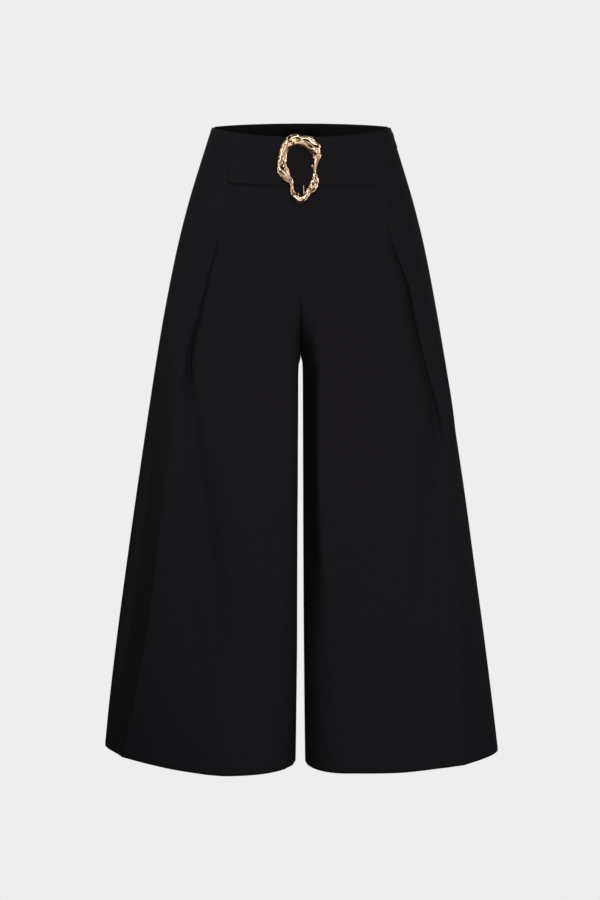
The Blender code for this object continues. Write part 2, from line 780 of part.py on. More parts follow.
def loop_points(values, steps):
    """A closed curve through a column of values, with steps points for each."""
    n = len(values)
    out = []
    for i in range(n):
        p0, p1, p2, p3 = (values[(i + k) % n] for k in (-1, 0, 1, 2))
        for k in range(steps):
            t = k / steps
            out.append(
                0.5 * (2 * p1 + (p2 - p0) * t + (2 * p0 - 5 * p1 + 4 * p2 - p3) * t * t + (3 * p1 - p0 - 3 * p2 + p3) * t**3)
            )
    return np.array(out)


def tube(name, start, end, radius, sides, material=None):
    """A plain rod between two points."""
    axis = (end - start) / np.linalg.norm(end - start)
    u = np.cross(axis, [1.0, 0.0, 0.0] if abs(axis[0]) < 0.9 else [0.0, 1.0, 0.0])
    u /= np.linalg.norm(u)
    w = np.cross(axis, u)
    verts, faces = [], []
    for p in (start, end):
        for k in range(sides):
            a = 2 * math.pi * k / sides
            verts.append(p + radius * (u * math.cos(a) + w * math.sin(a)))
    for k in range(sides):
        n = (k + 1) % sides
        faces.append((k, n, sides + n, sides + k))
    faces.append(tuple(range(sides))[::-1])
    faces.append(tuple(range(sides, 2 * sides)))
    return object_from(name, verts, faces, material)


def buckle(material):
    """An irregular cast ring with a bar across its back, which the belt passes over."""
    centre, across_x, up, outward = ring_frame()
    x, v, w, h = (loop_points(RING[k], RING_STEPS) for k in ("x", "up", "half_width", "half_height"))
    path = np.stack([x, v], 1)
    tangent = np.roll(path, -1, 0) - np.roll(path, 1, 0)
    tangent /= np.linalg.norm(tangent, axis=1)[:, None]
    verts, faces = [], []
    count = len(path)
    for i in range(count):
        away = np.array([-tangent[i][1], tangent[i][0]])
        for k in range(RING_SIDES):
            a = 2 * math.pi * k / RING_SIDES
            flat = path[i] + away * w[i] * math.cos(a)
            rise = RING_BACK + h[i] * (1 + math.sin(a))
            verts.append(centre + across_x * flat[0] + up * flat[1] + outward * rise)
    for i in range(count):
        for k in range(RING_SIDES):
            a, b = i * RING_SIDES, (i + 1) % count * RING_SIDES
            n = (k + 1) % RING_SIDES
            faces.append((a + k, a + n, b + n, b + k))
    ring = object_from("buckle", verts, faces, material)

    bar_off = CLOTH / 2 + LAY_GAP + BAR_RADIUS + 0.2
    top = np.array([BAR_X - BAR_LEAN, front_middle(BAR_SPAN_Z[0]) - bar_off, BAR_SPAN_Z[0]])
    bottom = np.array([BAR_X + BAR_LEAN, front_middle(BAR_SPAN_Z[1]) - bar_off, BAR_SPAN_Z[1]])
    rods = [tube("bar_shape", top + up * 1.2, bottom - up * 1.2, BAR_RADIUS, 10)]
    for place in (top, bottom):
        rods.append(tube("post_shape", place - outward * 0.9, place + outward * (RING_BACK + 1.6 - bar_off + CLOTH / 2), POST_RADIUS, 10))
    for rod in rods:
        rod.hide_render = True
        rod.display_type = "WIRE"
        join = ring.modifiers.new("join_" + rod.name, "BOOLEAN")
        join.operation = "UNION"
        join.object = rod
    return ring


# ---------------------------------------------------------------- the zip


def column_at(column, z):
    """The point of one column of a grid at a height."""
    return np.array([np.interp(-z, -column[:, 2], column[:, k]) for k in (0, 1, 2)])


def seam_point(front, back, z, away):
    """A point beside the side seam at a height: away is along the cloth, less than 0 on the front."""
    grid = front if away < 0 else back
    last, before = column_at(grid[:, -1], z), column_at(grid[:, -2], z)
    d = (before - last) / np.linalg.norm(before - last)
    return last + d * max(abs(away) - SEAM_GAP / 2, 0.0)


def zip_tape(front_inner, back_inner, material):
    """The zip's closed tapes, inside the side seam."""
    heights = [ZIP_TOP_Z] + [z for z in ROWS if ZIP_BOTTOM_Z < z < ZIP_TOP_Z] + [ZIP_BOTTOM_Z]
    fronts, backs = [], []
    for z in heights:
        a = seam_point(front_inner, back_inner, z, -ZIP_TAPE_HALF)
        b = (seam_point(front_inner, back_inner, z, -0.1) + seam_point(front_inner, back_inner, z, 0.1)) / 2
        c = seam_point(front_inner, back_inner, z, ZIP_TAPE_HALF)
        line = np.array([a, b, c])
        inward = []
        for p, q in ((a, b), (a, c), (b, c)):
            d = (q - p)[:2] / np.linalg.norm((q - p)[:2])
            inward.append(np.array([-d[1], d[0], 0.0]))
        inward = np.array(inward)
        fronts.append(line + inward * LAY_GAP)
        backs.append(line + inward * (LAY_GAP + ZIP_TAPE_CLOTH))
    wall("zip_tape", np.array(fronts), np.array(backs), material)


def slider_frame(front_outer, back_outer):
    """Origin on the cloth at the slider, and the directions across the seam, down it and out from it."""
    top, mid, low = (
        (seam_point(front_outer, back_outer, z, -0.1) + seam_point(front_outer, back_outer, z, 0.1)) / 2
        for z in (SLIDER_Z + 6, SLIDER_Z, SLIDER_Z - 20)
    )
    down = (low - top) / np.linalg.norm(low - top)
    over = seam_point(front_outer, back_outer, SLIDER_Z, 5) - seam_point(front_outer, back_outer, SLIDER_Z, -5)
    outward = np.cross(over, down)
    if outward[0] < 0:
        outward = -outward
    outward /= np.linalg.norm(outward)
    return mid, np.cross(down, outward), down, outward


def block(name, frame, low, high, material=None):
    """A box in the slider's own directions."""
    origin, over, down, outward = frame
    verts = []
    for n in (low[2], high[2]):
        for a, d in ((low[0], low[1]), (high[0], low[1]), (high[0], high[1]), (low[0], high[1])):
            verts.append(origin + over * a + down * d + outward * n)
    faces = [(0, 3, 2, 1), (4, 5, 6, 7), (0, 1, 5, 4), (1, 2, 6, 5), (2, 3, 7, 6), (3, 0, 4, 7)]
    return object_from(name, verts, faces, material)


def zip_slider(frame, material):
    """The slider: a plate on the seam, with an arch along it that holds the pull tab."""
    pw, pl, pt = SLIDER_PLATE
    aw, al, at_ = SLIDER_ARCH
    base = LAY_GAP + 0.05
    plate = block("zip_slider", frame, (-pw / 2, -pl / 2, base), (pw / 2, pl / 2, base + pt), material)
    bevel = plate.modifiers.new("corners", "BEVEL")
    bevel.width = 0.25 * MM
    bevel.segments = 2
    top = base + pt + SLIDER_WINDOW
    shapes = [
        ((-aw / 2, -al / 2, base + 0.3), (aw / 2, -al / 2 + 0.9, top + at_)),
        ((-aw / 2, al / 2 - 0.9, base + 0.3), (aw / 2, al / 2, top + at_)),
        ((-aw / 2, -al / 2 + 0.2, top), (aw / 2, al / 2 - 0.2, top + at_ - 0.05)),
    ]
    for low, high in shapes:
        shape = block("arch_shape", frame, low, high)
        shape.hide_render = True
        shape.display_type = "WIRE"
        join = plate.modifiers.new("join_" + shape.name, "BOOLEAN")
        join.operation = "UNION"
        join.object = shape


def zip_pull(frame, material):
    """The pull tab: a flat drop whose slotted top turns on its own cross bar, under the arch."""
    origin, over, down, outward = frame
    rise = LAY_GAP + 0.05 + SLIDER_PLATE[2] + PULL_OVER_PLATE + PULL_THICK / 2
    axis = origin + outward * rise
    slot_w, slot_l = PULL_SLOT
    bar = 0.45
    n = 20
    rim, hole = [], []
    for k in range(n):
        turn = 2 * math.pi * k / n
        c, t = math.cos(turn), math.sin(turn)
        share = (1 - c) / 2  # 0 at the top, 1 at the end
        half = PULL_HALF_TOP + (PULL_HALF_END - PULL_HALF_TOP) * smooth(share)
        width = half * math.copysign(abs(t) ** 0.55, t)
        rim.append((width, -bar + (PULL_LENGTH + bar) * (0.5 - 0.5 * math.copysign(abs(c) ** 0.6, c))))
        hole.append(
            (
                slot_w / 2 * math.copysign(abs(t) ** 0.4, t),
                bar + slot_l * (0.5 - 0.5 * math.copysign(abs(c) ** 0.5, c)),
            )
        )
    verts = []
    for loop in (rim, hole):
        for side in (-1, 1):
            for a, d in loop:
                verts.append(over * a + down * d + outward * side * PULL_THICK / 2)
    faces = []
    for k in range(n):
        m = (k + 1) % n
        faces.append((k, m, n + m, n + k))
        faces.append((2 * n + k, 3 * n + k, 3 * n + m, 2 * n + m))
        faces.append((n + k, n + m, 3 * n + m, 3 * n + k))
        faces.append((k, 2 * n + k, 2 * n + m, m))
    pull = object_from("zip_pull", verts, faces, material)
    pull.location = axis * MM
    return axis


# ---------------------------------------------------------------- the trousers


def main():
    clear_scene()
    scene = bpy.context.scene
    scene.unit_settings.system = "METRIC"
    scene.unit_settings.scale_length = 1.0
    suiting = finish_for("suiting", (0.012, 0.010, 0.011), 0.8)
    satin = finish_for("label_cloth", (0.008, 0.008, 0.009), 0.5)
    tape = finish_for("zip_tape_cloth", (0.014, 0.013, 0.014), 0.7)
    enamel = finish_for("black_enamel", (0.02, 0.02, 0.022), 0.35, 0.6)
    gold = finish_for("pale_gold", (0.86, 0.66, 0.42), 0.16, 1.0)
    grids = {}
    for panel in ("front_left", "front_right", "back_left", "back_right"):
        grids[panel] = cloth_panel(panel, suiting)
    belt_panel(grids["front_left"][0], grids["front_right"][0], suiting)
    label(grids["back_left"][1], grids["back_right"][1], satin)
    buckle(gold)
    zip_tape(grids["front_right"][1], grids["back_right"][1], tape)
    frame = slider_frame(grids["front_right"][0], grids["back_right"][0])
    zip_slider(frame, enamel)
    zip_pull(frame, enamel)


main()
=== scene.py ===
"""The looks of the wide-leg cropped trousers: cloth shells on the panels' own form,
the belt, the label, the zip, the cast buckle, their materials, light and camera.

The sections are worked out as in the part's source, in mm, only closer together."""

import math

import bmesh
import bpy
import numpy as np
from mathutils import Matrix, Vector, noise


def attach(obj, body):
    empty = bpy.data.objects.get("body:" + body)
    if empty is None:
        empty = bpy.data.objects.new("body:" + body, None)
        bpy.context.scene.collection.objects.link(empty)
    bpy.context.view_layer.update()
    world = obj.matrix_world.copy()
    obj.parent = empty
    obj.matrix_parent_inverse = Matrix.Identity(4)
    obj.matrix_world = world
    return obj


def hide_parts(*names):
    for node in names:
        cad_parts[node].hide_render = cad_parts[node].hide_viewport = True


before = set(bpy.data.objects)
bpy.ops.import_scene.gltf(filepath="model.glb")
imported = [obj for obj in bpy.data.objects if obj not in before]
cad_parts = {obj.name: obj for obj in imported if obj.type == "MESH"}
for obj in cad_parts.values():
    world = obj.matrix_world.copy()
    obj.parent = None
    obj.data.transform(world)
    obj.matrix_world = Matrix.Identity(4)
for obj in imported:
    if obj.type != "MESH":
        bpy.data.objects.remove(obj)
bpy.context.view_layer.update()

MM = 0.001
BODY_NAME = "trousers"

# ---------------------------------------------------------------- sizes, mm
CLOTH = 1.4  # the part's wall
SHOWN_CLOTH = 0.5  # the thinner cloth shown, on the middle of that wall
LAY_GAP = 0.3
WAIST_SIDE_DROP = 3.0
WAIST_FRONT_DROP = 12.4
WAIST_BACK_DROP = 0.0
HEM_Z = -862.0
HEM_SIDE_RISE = {"left": 8.0, "right": 2.0}
HEM_TURN = 34.0  # depth of the blind-stitched hem inside
WIDEST_Y = 6.0
INSEAM_Y = 4.0
CROTCH_TOP_Z = -205.0
CROTCH_Z = -304.0
BELT_TOP_Z = -20.5
BELT_BOTTOM_Z = -74.5
BELT_CLOTH = 1.6
BELT_BAR_LIFT = 2.9
BELT_LIFT_REACH = 38.0
LABEL_SIZE = (50.0, 22.0)
LABEL_TOP_Z = -6.3
LABEL_X = 1.6
BAR_X = 3.5
BAR_LEAN = 1.1
BAR_RADIUS = 1.2
BAR_SPAN_Z = (-16.5, -91.5)
POST_RADIUS = 1.6
RING_BACK = 6.0
RING_CENTRE_Z = -55.2
ZIP_TOP_Z = -5.0
ZIP_BOTTOM_Z = -190.0


def columns(names, rows):
    values = np.array(rows, float)
    return dict(zip(names.split(), values.T))


def at(table, name, z):
    """A column's value at a height, on a smooth curve through the table's rows."""
    h, v = -table["z"], table[name]
    x = min(max(-z, h[0]), h[-1])
    i = min(max(int(np.searchsorted(h, x)) - 1, 0), len(h) - 2)
    step = h[i + 1] - h[i]

    def slope(k):
        if k == 0:
            return (v[1] - v[0]) / (h[1] - h[0])
        if k == len(h) - 1:
            return (v[-1] - v[-2]) / (h[-1] - h[-2])
        a = (v[k] - v[k - 1]) / (h[k] - h[k - 1])
        b = (v[k + 1] - v[k]) / (h[k + 1] - h[k])
        return 0.0 if a * b <= 0 else 2 * a * b / (a + b)

    t = (x - h[i]) / step
    m0, m1 = slope(i) * step, slope(i + 1) * step
    return (
        (2 * t**3 - 3 * t**2 + 1) * v[i]
        + (t**3 - 2 * t**2 + t) * m0
        + (3 * t**2 - 2 * t**3) * v[i + 1]
        + (t**3 - t**2) * m1
    )


BODY = columns(
    "z half_left half_right front_left front_right back power_left power_right power_back",
    [
        (0, 117.8, 120.0, 88.0, 88.0, 88.0, 2.20, 2.20, 2.15),
        (-50, 134.2, 135.9, 96.0, 96.0, 99.0, 2.20, 2.20, 2.20),
        (-100, 149.7, 151.2, 103.0, 103.0, 110.0, 2.20, 2.20, 2.20),
        (-150, 163.0, 164.3, 108.0, 108.0, 118.0, 2.15, 2.20, 2.20),
        (-200, 174.1, 175.1, 111.0, 111.0, 122.0, 2.10, 2.15, 2.20),
        (-250, 184.0, 184.6, 112.5, 112.0, 121.0, 2.05, 2.10, 2.15),
        (-300, 193.1, 193.6, 113.0, 112.0, 118.5, 2.00, 2.05, 2.10),
        (-400, 209.5, 209.6, 113.5, 111.5, 115.5, 1.90, 2.00, 2.00),
        (-500, 224.9, 225.3, 114.5, 111.0, 114.5, 1.80, 1.95, 1.95),
        (-600, 239.7, 239.7, 115.5, 110.5, 115.0, 1.70, 1.90, 1.90),
        (-700, 253.9, 254.0, 117.0, 110.0, 116.5, 1.60, 1.85, 1.85),
        (-800, 266.3, 267.4, 119.0, 109.5, 118.5, 1.55, 1.80, 1.80),
        (-862, 272.8, 275.1, 120.0, 109.5, 120.0, 1.50, 1.80, 1.80),
    ],
)

FLAT = columns(
    "z front_left front_right back_left back_right",
    [
        (0, 0, 0, 0, 0),
        (-180, 0, 0, 0, 0),
        (-304, 30, 30, 30, 34),
        (-500, 58, 56, 60, 66),
        (-700, 84, 78, 84, 90),
        (-862, 97, 90, 100, 104),
    ],
)
CORNER = columns(
    "z wide_left deep_left full_left wide_right deep_right full_right wide_back deep_back",
    [
        (0, 24, 20, 2.0, 24, 20, 2.0, 24, 20),
        (-205, 26, 30, 2.0, 26, 30, 1.8, 28, 30),
        (-304, 26, 34, 2.0, 27, 62, 1.35, 36, 40),
        (-350, 19, 30, 2.0, 21, 92, 1.15, 38, 43),
        (-420, 16, 28, 2.0, 20, 94, 1.12, 41, 47),
        (-540, 24, 34, 2.0, 23, 90, 1.20, 48, 54),
        (-620, 36, 42, 2.0, 34, 74, 1.60, 52, 59),
        (-700, 54, 54, 2.0, 46, 60, 2.0, 58, 66),
        (-862, 80, 75, 2.0, 55, 65, 2.0, 68, 76),
    ],
)
GAP = columns(
    "z half",
    [
        (-304, 0.04),
        (-313, 1.9),
        (-332, 2.5),
        (-470, 3.05),
        (-580, 3.7),
        (-690, 4.2),
        (-800, 5.2),
        (-862, 5.9),
    ],
)
SIDE_SEAM = columns("z back", [(0, 20), (-200, 16), (-500, 9), (-862, 3)])
PLEAT = {
    "left": columns(
        "z edge under turn arc",
        [
            (0, 95.6, 22, 180, 0.9),
            (-72, 95.6, 22, 180, 0.9),
            (-95, 98.9, 23, 180, 0.9),
            (-148, 109.4, 24, 180, 0.95),
            (-213, 128.0, 16, 180, 1.5),
            (-248, 137.4, 10, 180, 2.0),
            (-279, 148.5, 4.5, 172, 2.8),
            (-305, 154.5, 1.6, 128, 4.0),
            (-340, 157.0, 1.6, 60, 5.0),
            (-400, 151.0, 2.4, 18, 6.0),
            (-456, 146.0, 3.0, 7, 8.0),
            (-550, 136.0, 4.0, 3, 10.0),
            (-634, 130.0, 4.5, 2, 12.0),
            (-745, 123.0, 5.5, 1.5, 12.0),
            (-862, 132.0, 6.0, 1.0, 12.0),
        ],
    ),
    "right": columns(
        "z edge under turn arc",
        [
            (0, 106.1, 20, 180, 0.9),
            (-72, 107.5, 21, 180, 0.9),
            (-104, 110.8, 22, 180, 0.9),
            (-134, 116.7, 24, 180, 0.95),
            (-211, 148.6, 20, 180, 1.5),
            (-255, 160.6, 14, 180, 1.9),
            (-288, 168.4, 9.5, 180, 2.2),
            (-335, 180.6, 4.5, 174, 2.8),
            (-375, 188.0, 1.6, 134, 4.0),
            (-415, 189.5, 1.6, 60, 6.0),
            (-480, 191.0, 2.4, 20, 8.5),
            (-560, 193.0, 3.5, 8, 10.0),
            (-862, 196.0, 4.0, 1.5, 12.0),
        ],
    ),
}
# Below its stitches each pleat gapes: how far the cloth under its edge falls back.
# The whole fold lies in a valley too: its depth at the edge, and its widths on the
# side of the middle and on the outer side.
RELEASE = {"left": -146.0, "right": -132.0}
GAPE = {
    "left": columns(
        "z deep wide valley inner outer",
        [
            (0, 0, 6, 0, 6, 6),
            (-144, 0, 6, 0, 6, 6),
            (-157, 0.8, 6, 0.8, 7, 7),
            (-213, 1.6, 7, 2.0, 9, 8),
            (-250, 2.2, 8, 3.4, 10, 9),
            (-279, 3.0, 7, 6.0, 10, 10),
            (-305, 3.4, 7, 9.0, 12, 14),
            (-340, 2.4, 8, 10.6, 14, 20),
            (-400, 0.6, 10, 10.4, 15, 28),
            (-456, 0, 14, 9.8, 17, 36),
            (-550, 0, 14, 9.0, 19, 46),
            (-634, 0, 14, 7.4, 22, 54),
            (-720, 0, 14, 4.0, 24, 54),
            (-790, 0, 14, 0.6, 20, 20),
            (-862, 0, 14, 0, 20, 14),
        ],
    ),
    "right": columns(
        "z deep wide valley inner outer",
        [
            (0, 0, 6, 0, 5, 5),
            (-130, 0, 6, 0, 5, 5),
            (-143, 1.0, 6, 1.6, 6, 6),
            (-157, 1.6, 6, 3.4, 7, 7),
            (-224, 4.0, 10, 9.0, 16, 13),
            (-276, 5.6, 12, 12.0, 20, 14),
            (-330, 6.2, 13, 12.0, 22, 12),
            (-358, 5.2, 12, 10.0, 20, 10),
            (-384, 2.2, 10, 6.0, 16, 8),
            (-400, 0.4, 9, 2.0, 11, 8),
            (-420, 0, 9, 0.4, 10, 8),
            (-862, 0, 10, 0, 10, 8),
        ],
    ),
}
PLEAT_SETTLE = 52.0
CREASE = {
    "left": columns(
        "z x proud wide outside hollow",
        [
            (0, 107.0, 0, 14, 14, 0),
            (-148, 150.0, 0, 14, 14, 0),
            (-213, 171.0, 0.4, 15, 12, 0),
            (-254, 175.0, 2.0, 18, 12, 0),
            (-297, 168.0, 4.2, 22, 12, 0.6),
            (-330, 165.6, 6.2, 28, 12, 2.6),
            (-360, 165.8, 8.2, 32, 12, 5.4),
            (-391, 167.6, 9.8, 36, 12, 8.2),
            (-455, 174.8, 11.2, 42, 12, 11.0),
            (-547, 185.0, 11.6, 46, 12, 12.0),
            (-656, 197.8, 11.0, 46, 12, 10.6),
            (-741, 213.4, 9.8, 42, 12, 7.0),
            (-800, 226.2, 8.2, 36, 12, 3.0),
            (-862, 241.5, 5.4, 24, 12, 0),
        ],
    ),
    "right": columns(
        "z x proud wide outside hollow",
        [
            (0, 112.6, 0, 13, 13, 0),
            (-104, 131.0, 0, 13, 13, 0),
            (-170, 146.0, 0.8, 13, 13, 0),
            (-211, 161.0, 1.8, 13, 13, 0),
            (-267, 178.0, 2.4, 13, 13, 0),
            (-306, 187.0, 2.8, 13, 13, 0),
            (-368, 196.8, 3.8, 13, 13, 0),
            (-415, 200.4, 4.6, 14, 12, 0.4),
            (-516, 206.6, 5.0, 16, 12, 0.8),
            (-619, 211.4, 5.0, 16, 12, 0.8),
            (-756, 215.6, 4.6, 15, 12, 0.6),
            (-862, 220.0, 4.0, 14, 12, 0.4),
        ],
    ),
}

# Soft folds: the panel, the ends of the fold's line, its rise (less than 0 is a
# trough) and half its width. The large ones are the part's own.
FOLDS = [
    # panel, x_top, z_top, x_bottom, z_bottom, rise, width
    ("front_left", 92.0, -420.0, 104.0, -862.0, 2.6, 24.0),
    ("front_right", 181.0, -395.0, 160.0, -650.0, -4.0, 12.0),
    ("front_right", 118.0, -430.0, 138.0, -862.0, 2.2, 26.0),
    ("back_left", 96.0, -270.0, 120.0, -800.0, -4.5, 22.0),
    ("back_left", 150.0, -330.0, 196.0, -862.0, 4.0, 24.0),
    ("back_right", 88.0, -300.0, 104.0, -862.0, -4.0, 22.0),
    ("back_right", 142.0, -260.0, 182.0, -862.0, 4.5, 26.0),
]


# ---------------------------------------------------------------- one level section


def smooth(t):
    t = min(max(t, 0.0), 1.0)
    return t * t * (3 - 2 * t)


def seam_recess(z, reach):
    if z >= CROTCH_TOP_Z:
        return 0.0
    if z <= CROTCH_Z:
        return reach
    drop = (CROTCH_TOP_Z - z) / (CROTCH_TOP_Z - CROTCH_Z)
    return reach * (1 - math.sqrt(max(0.0, 1 - drop * drop)))


def base_section(panel, z):
    """The middle of a panel's wall at one height, from the middle seam or inseam round to the widest line."""
    face, side = panel.split("_")
    half = CLOTH / 2
    wide = at(BODY, "half_" + side, z) - half
    if face == "front":
        deep = at(BODY, "front_" + side, z) - half
        power = at(BODY, "power_" + side, z)
        corner_w = at(CORNER, "wide_" + side, z)
        corner_d = at(CORNER, "deep_" + side, z)
        full = at(CORNER, "full_" + side, z)
        to_side, to_inseam = deep + WIDEST_Y, deep + INSEAM_Y
    else:
        deep = at(BODY, "back", z) - half
        power = at(BODY, "power_back", z)
        corner_w = at(CORNER, "wide_back", z)
        corner_d = at(CORNER, "deep_back", z)
        full = 2.0
        to_side, to_inseam = deep - WIDEST_Y, deep - INSEAM_Y
    flat = at(FLAT, face + "_" + side, z)
    recess = seam_recess(z, to_inseam)
    inner = (SHOWN_CLOTH / 2 + 0.04) * min(1.0, recess / 4.0)
    if z < CROTCH_Z:
        inner = at(GAP, "half", z) + SHOWN_CLOTH / 2 + (half - SHOWN_CLOTH / 2) * smooth((CROTCH_Z - z) / 12.0)

    def behind(x):
        share = min(max((x - flat) / (wide - flat), 0.0), 1.0)
        return to_side * (1 - (1 - share**power) ** (1 / power))

    points = []
    round_d = min(recess, corner_d)
    for k in range(8):
        if recess > corner_d:
            points.append((inner, recess - (recess - corner_d) * k / 8))
    for k in range(33):
        turn = math.pi / 2 * k / 32
        x = inner + corner_w * (1 - max(0.0, math.cos(turn)) ** (2 / full))
        points.append((x, behind(x) + round_d * (1 - math.sin(turn) ** (2 / full))))
    corner_at = len(points) - 1
    start = points[-1][0]
    for k in range(1, 13):
        if flat > start + 1:
            x = start + (flat - start) * k / 12
            points.append((x, behind(x)))
    start = max(points[-1][0], flat)
    first = math.asin(min(1.0, ((start - flat) / (wide - flat)) ** (power / 2)))
    for k in range(1, 91):
        turn = first + (math.pi / 2 - first) * k / 90
        x = flat + (wide - flat) * math.sin(turn) ** (2 / power)
        points.append((x, to_side * (1 - max(0.0, math.cos(turn)) ** (2 / power))))
    line = np.array(points)
    sign = -1 if face == "front" else 1
    line[:, 1] = sign * (deep - line[:, 1])
    return line, corner_at


class Line:
    """A curve in one level, read by length along it, with its outward normal."""

    def __init__(self, points, outward):
        step = np.linalg.norm(np.diff(points, axis=0), axis=1)
        keep = np.concatenate([[True], step > 1e-6])
        self.p = points[keep]
        self.s = np.concatenate([[0], np.cumsum(np.linalg.norm(np.diff(self.p, axis=0), axis=1))])
        t = np.gradient(self.p, self.s, axis=0)
        t /= np.linalg.norm(t, axis=1)[:, None]
        self.n = np.stack([t[:, 1], -t[:, 0]], 1) * outward
        self.length = self.s[-1]

    def at_x(self, x):
        i = int(np.argmax(self.p[:, 0] >= x))
        if i == 0:
            return self.length
        a, b = self.p[i - 1, 0], self.p[i, 0]
        return self.s[i - 1] + (self.s[i] - self.s[i - 1]) * (x - a) / (b - a)

    def points(self, s, out):
        """Many points at once."""
        s = np.clip(s, 0.0, self.length)
        p = np.stack([np.interp(s, self.s, self.p[:, k]) for k in (0, 1)], 1)
        n = np.stack([np.interp(s, self.s, self.n[:, k]) for k in (0, 1)], 1)
        n /= np.linalg.norm(n, axis=1)[:, None]
        return p + n * np.asarray(out)[:, None]

    def xs(self, s):
        return np.interp(s, self.s, self.p[:, 0])


def pleat_curve(under, turn_deg, arc, steps):
    turn = math.radians(max(turn_deg, 0.5))
    r = arc / turn
    first = [(r * math.sin(turn * k / steps), r * (1 - math.cos(turn * k / steps))) for k in range(steps + 1)]
    mid = (first[-1][0] + under / 2 * math.cos(turn), first[-1][1] + under / 2 * math.sin(turn))
    lower = [(a - mid[0], d - mid[1]) for a, d in first]
    return np.array(lower + [(-a, -d) for a, d in reversed(lower)]), r


def smooth_a(t):
    t = np.clip(t, 0.0, 1.0)
    return t * t * (3 - 2 * t)


def folds_at(panel, x, z):
    """The soft folds' rise along a row."""
    total = np.zeros(len(x))
    for name, x0, z0, x1, z1, rise, width in FOLDS:
        if name != panel or not z1 - 60 <= z <= z0 + 60:
            continue
        t = (z - z0) / (z1 - z0)
        fade = smooth((t + 0.16) / 0.4) * (1.0 if z1 <= HEM_Z + 1 else smooth((1.16 - t) / 0.4))
        centre = x0 + (x1 - x0) * t
        total += rise * fade * np.exp(-(((x - centre) / width) ** 2))
    return total


def ripple(panel, s, z):
    """The slight unevenness that hanging cloth keeps, under half a millimetre."""
    seed = {"front_left": 3.1, "front_right": 11.7, "back_left": 23.9, "back_right": 37.3}[panel]
    fine = 0.35 + 0.35 * smooth((-z - 120) / 500)
    return np.array([
        fine * noise.noise(Vector((v / 46.0 + seed, z / 210.0, seed)))
        + 0.16 * noise.noise(Vector((v / 15.0 - seed, z / 70.0, seed * 2)))
        for v in s
    ])


EDGE = (0.0, 0.1, 0.3, 0.62, 1.1, 1.9, 3.2)  # where a panel's seam edge has points, from the seam in
NEAR_CREASE = np.array([-1.0, -0.72, -0.5, -0.34, -0.22, -0.13, -0.06, 0.0, 0.06, 0.13, 0.22, 0.34, 0.5, 0.72, 1.0]) * 16.0
CORNER_N, MIDDLE_N, UNDER_N, TURN_N, OUTER_N, SIDE_N = 18, 30, 12, 9, 16, 20
BACK_CORNER_N, BACK_MIDDLE_N = 18, 36


def spread(a, b, n):
    """n points from a up to, and without, b."""
    return list(a + (b - a) * np.arange(n) / n)


def corner_places(first, corner, n):
    near = min((corner - first) * (n - 4) / n, 74.0)
    return spread(first, corner - near, 4) + spread(corner - near, corner, n - 4)


def panel_line(panel, z):
    side = panel.split("_")[1]
    points, corner_at = base_section(panel, z)
    shift = at(SIDE_SEAM, "back", z)
    turned = (points if panel.startswith("back") else base_section("back_" + side, z)[0])[::-1]
    run = np.concatenate([[0], np.cumsum(np.linalg.norm(np.diff(turned, axis=0), axis=1))])
    cut = np.array([np.interp(shift, run, turned[:, k]) for k in (0, 1)])
    if panel.startswith("back"):
        line = Line(np.vstack([turned[run > shift + 0.2][::-1], cut]), -1)
    else:
        extra = turned[(run > 0.2) & (run < shift - 0.2)]
        line = Line(np.vstack([points, extra, cut]), 1)
    return line, line.s[corner_at]


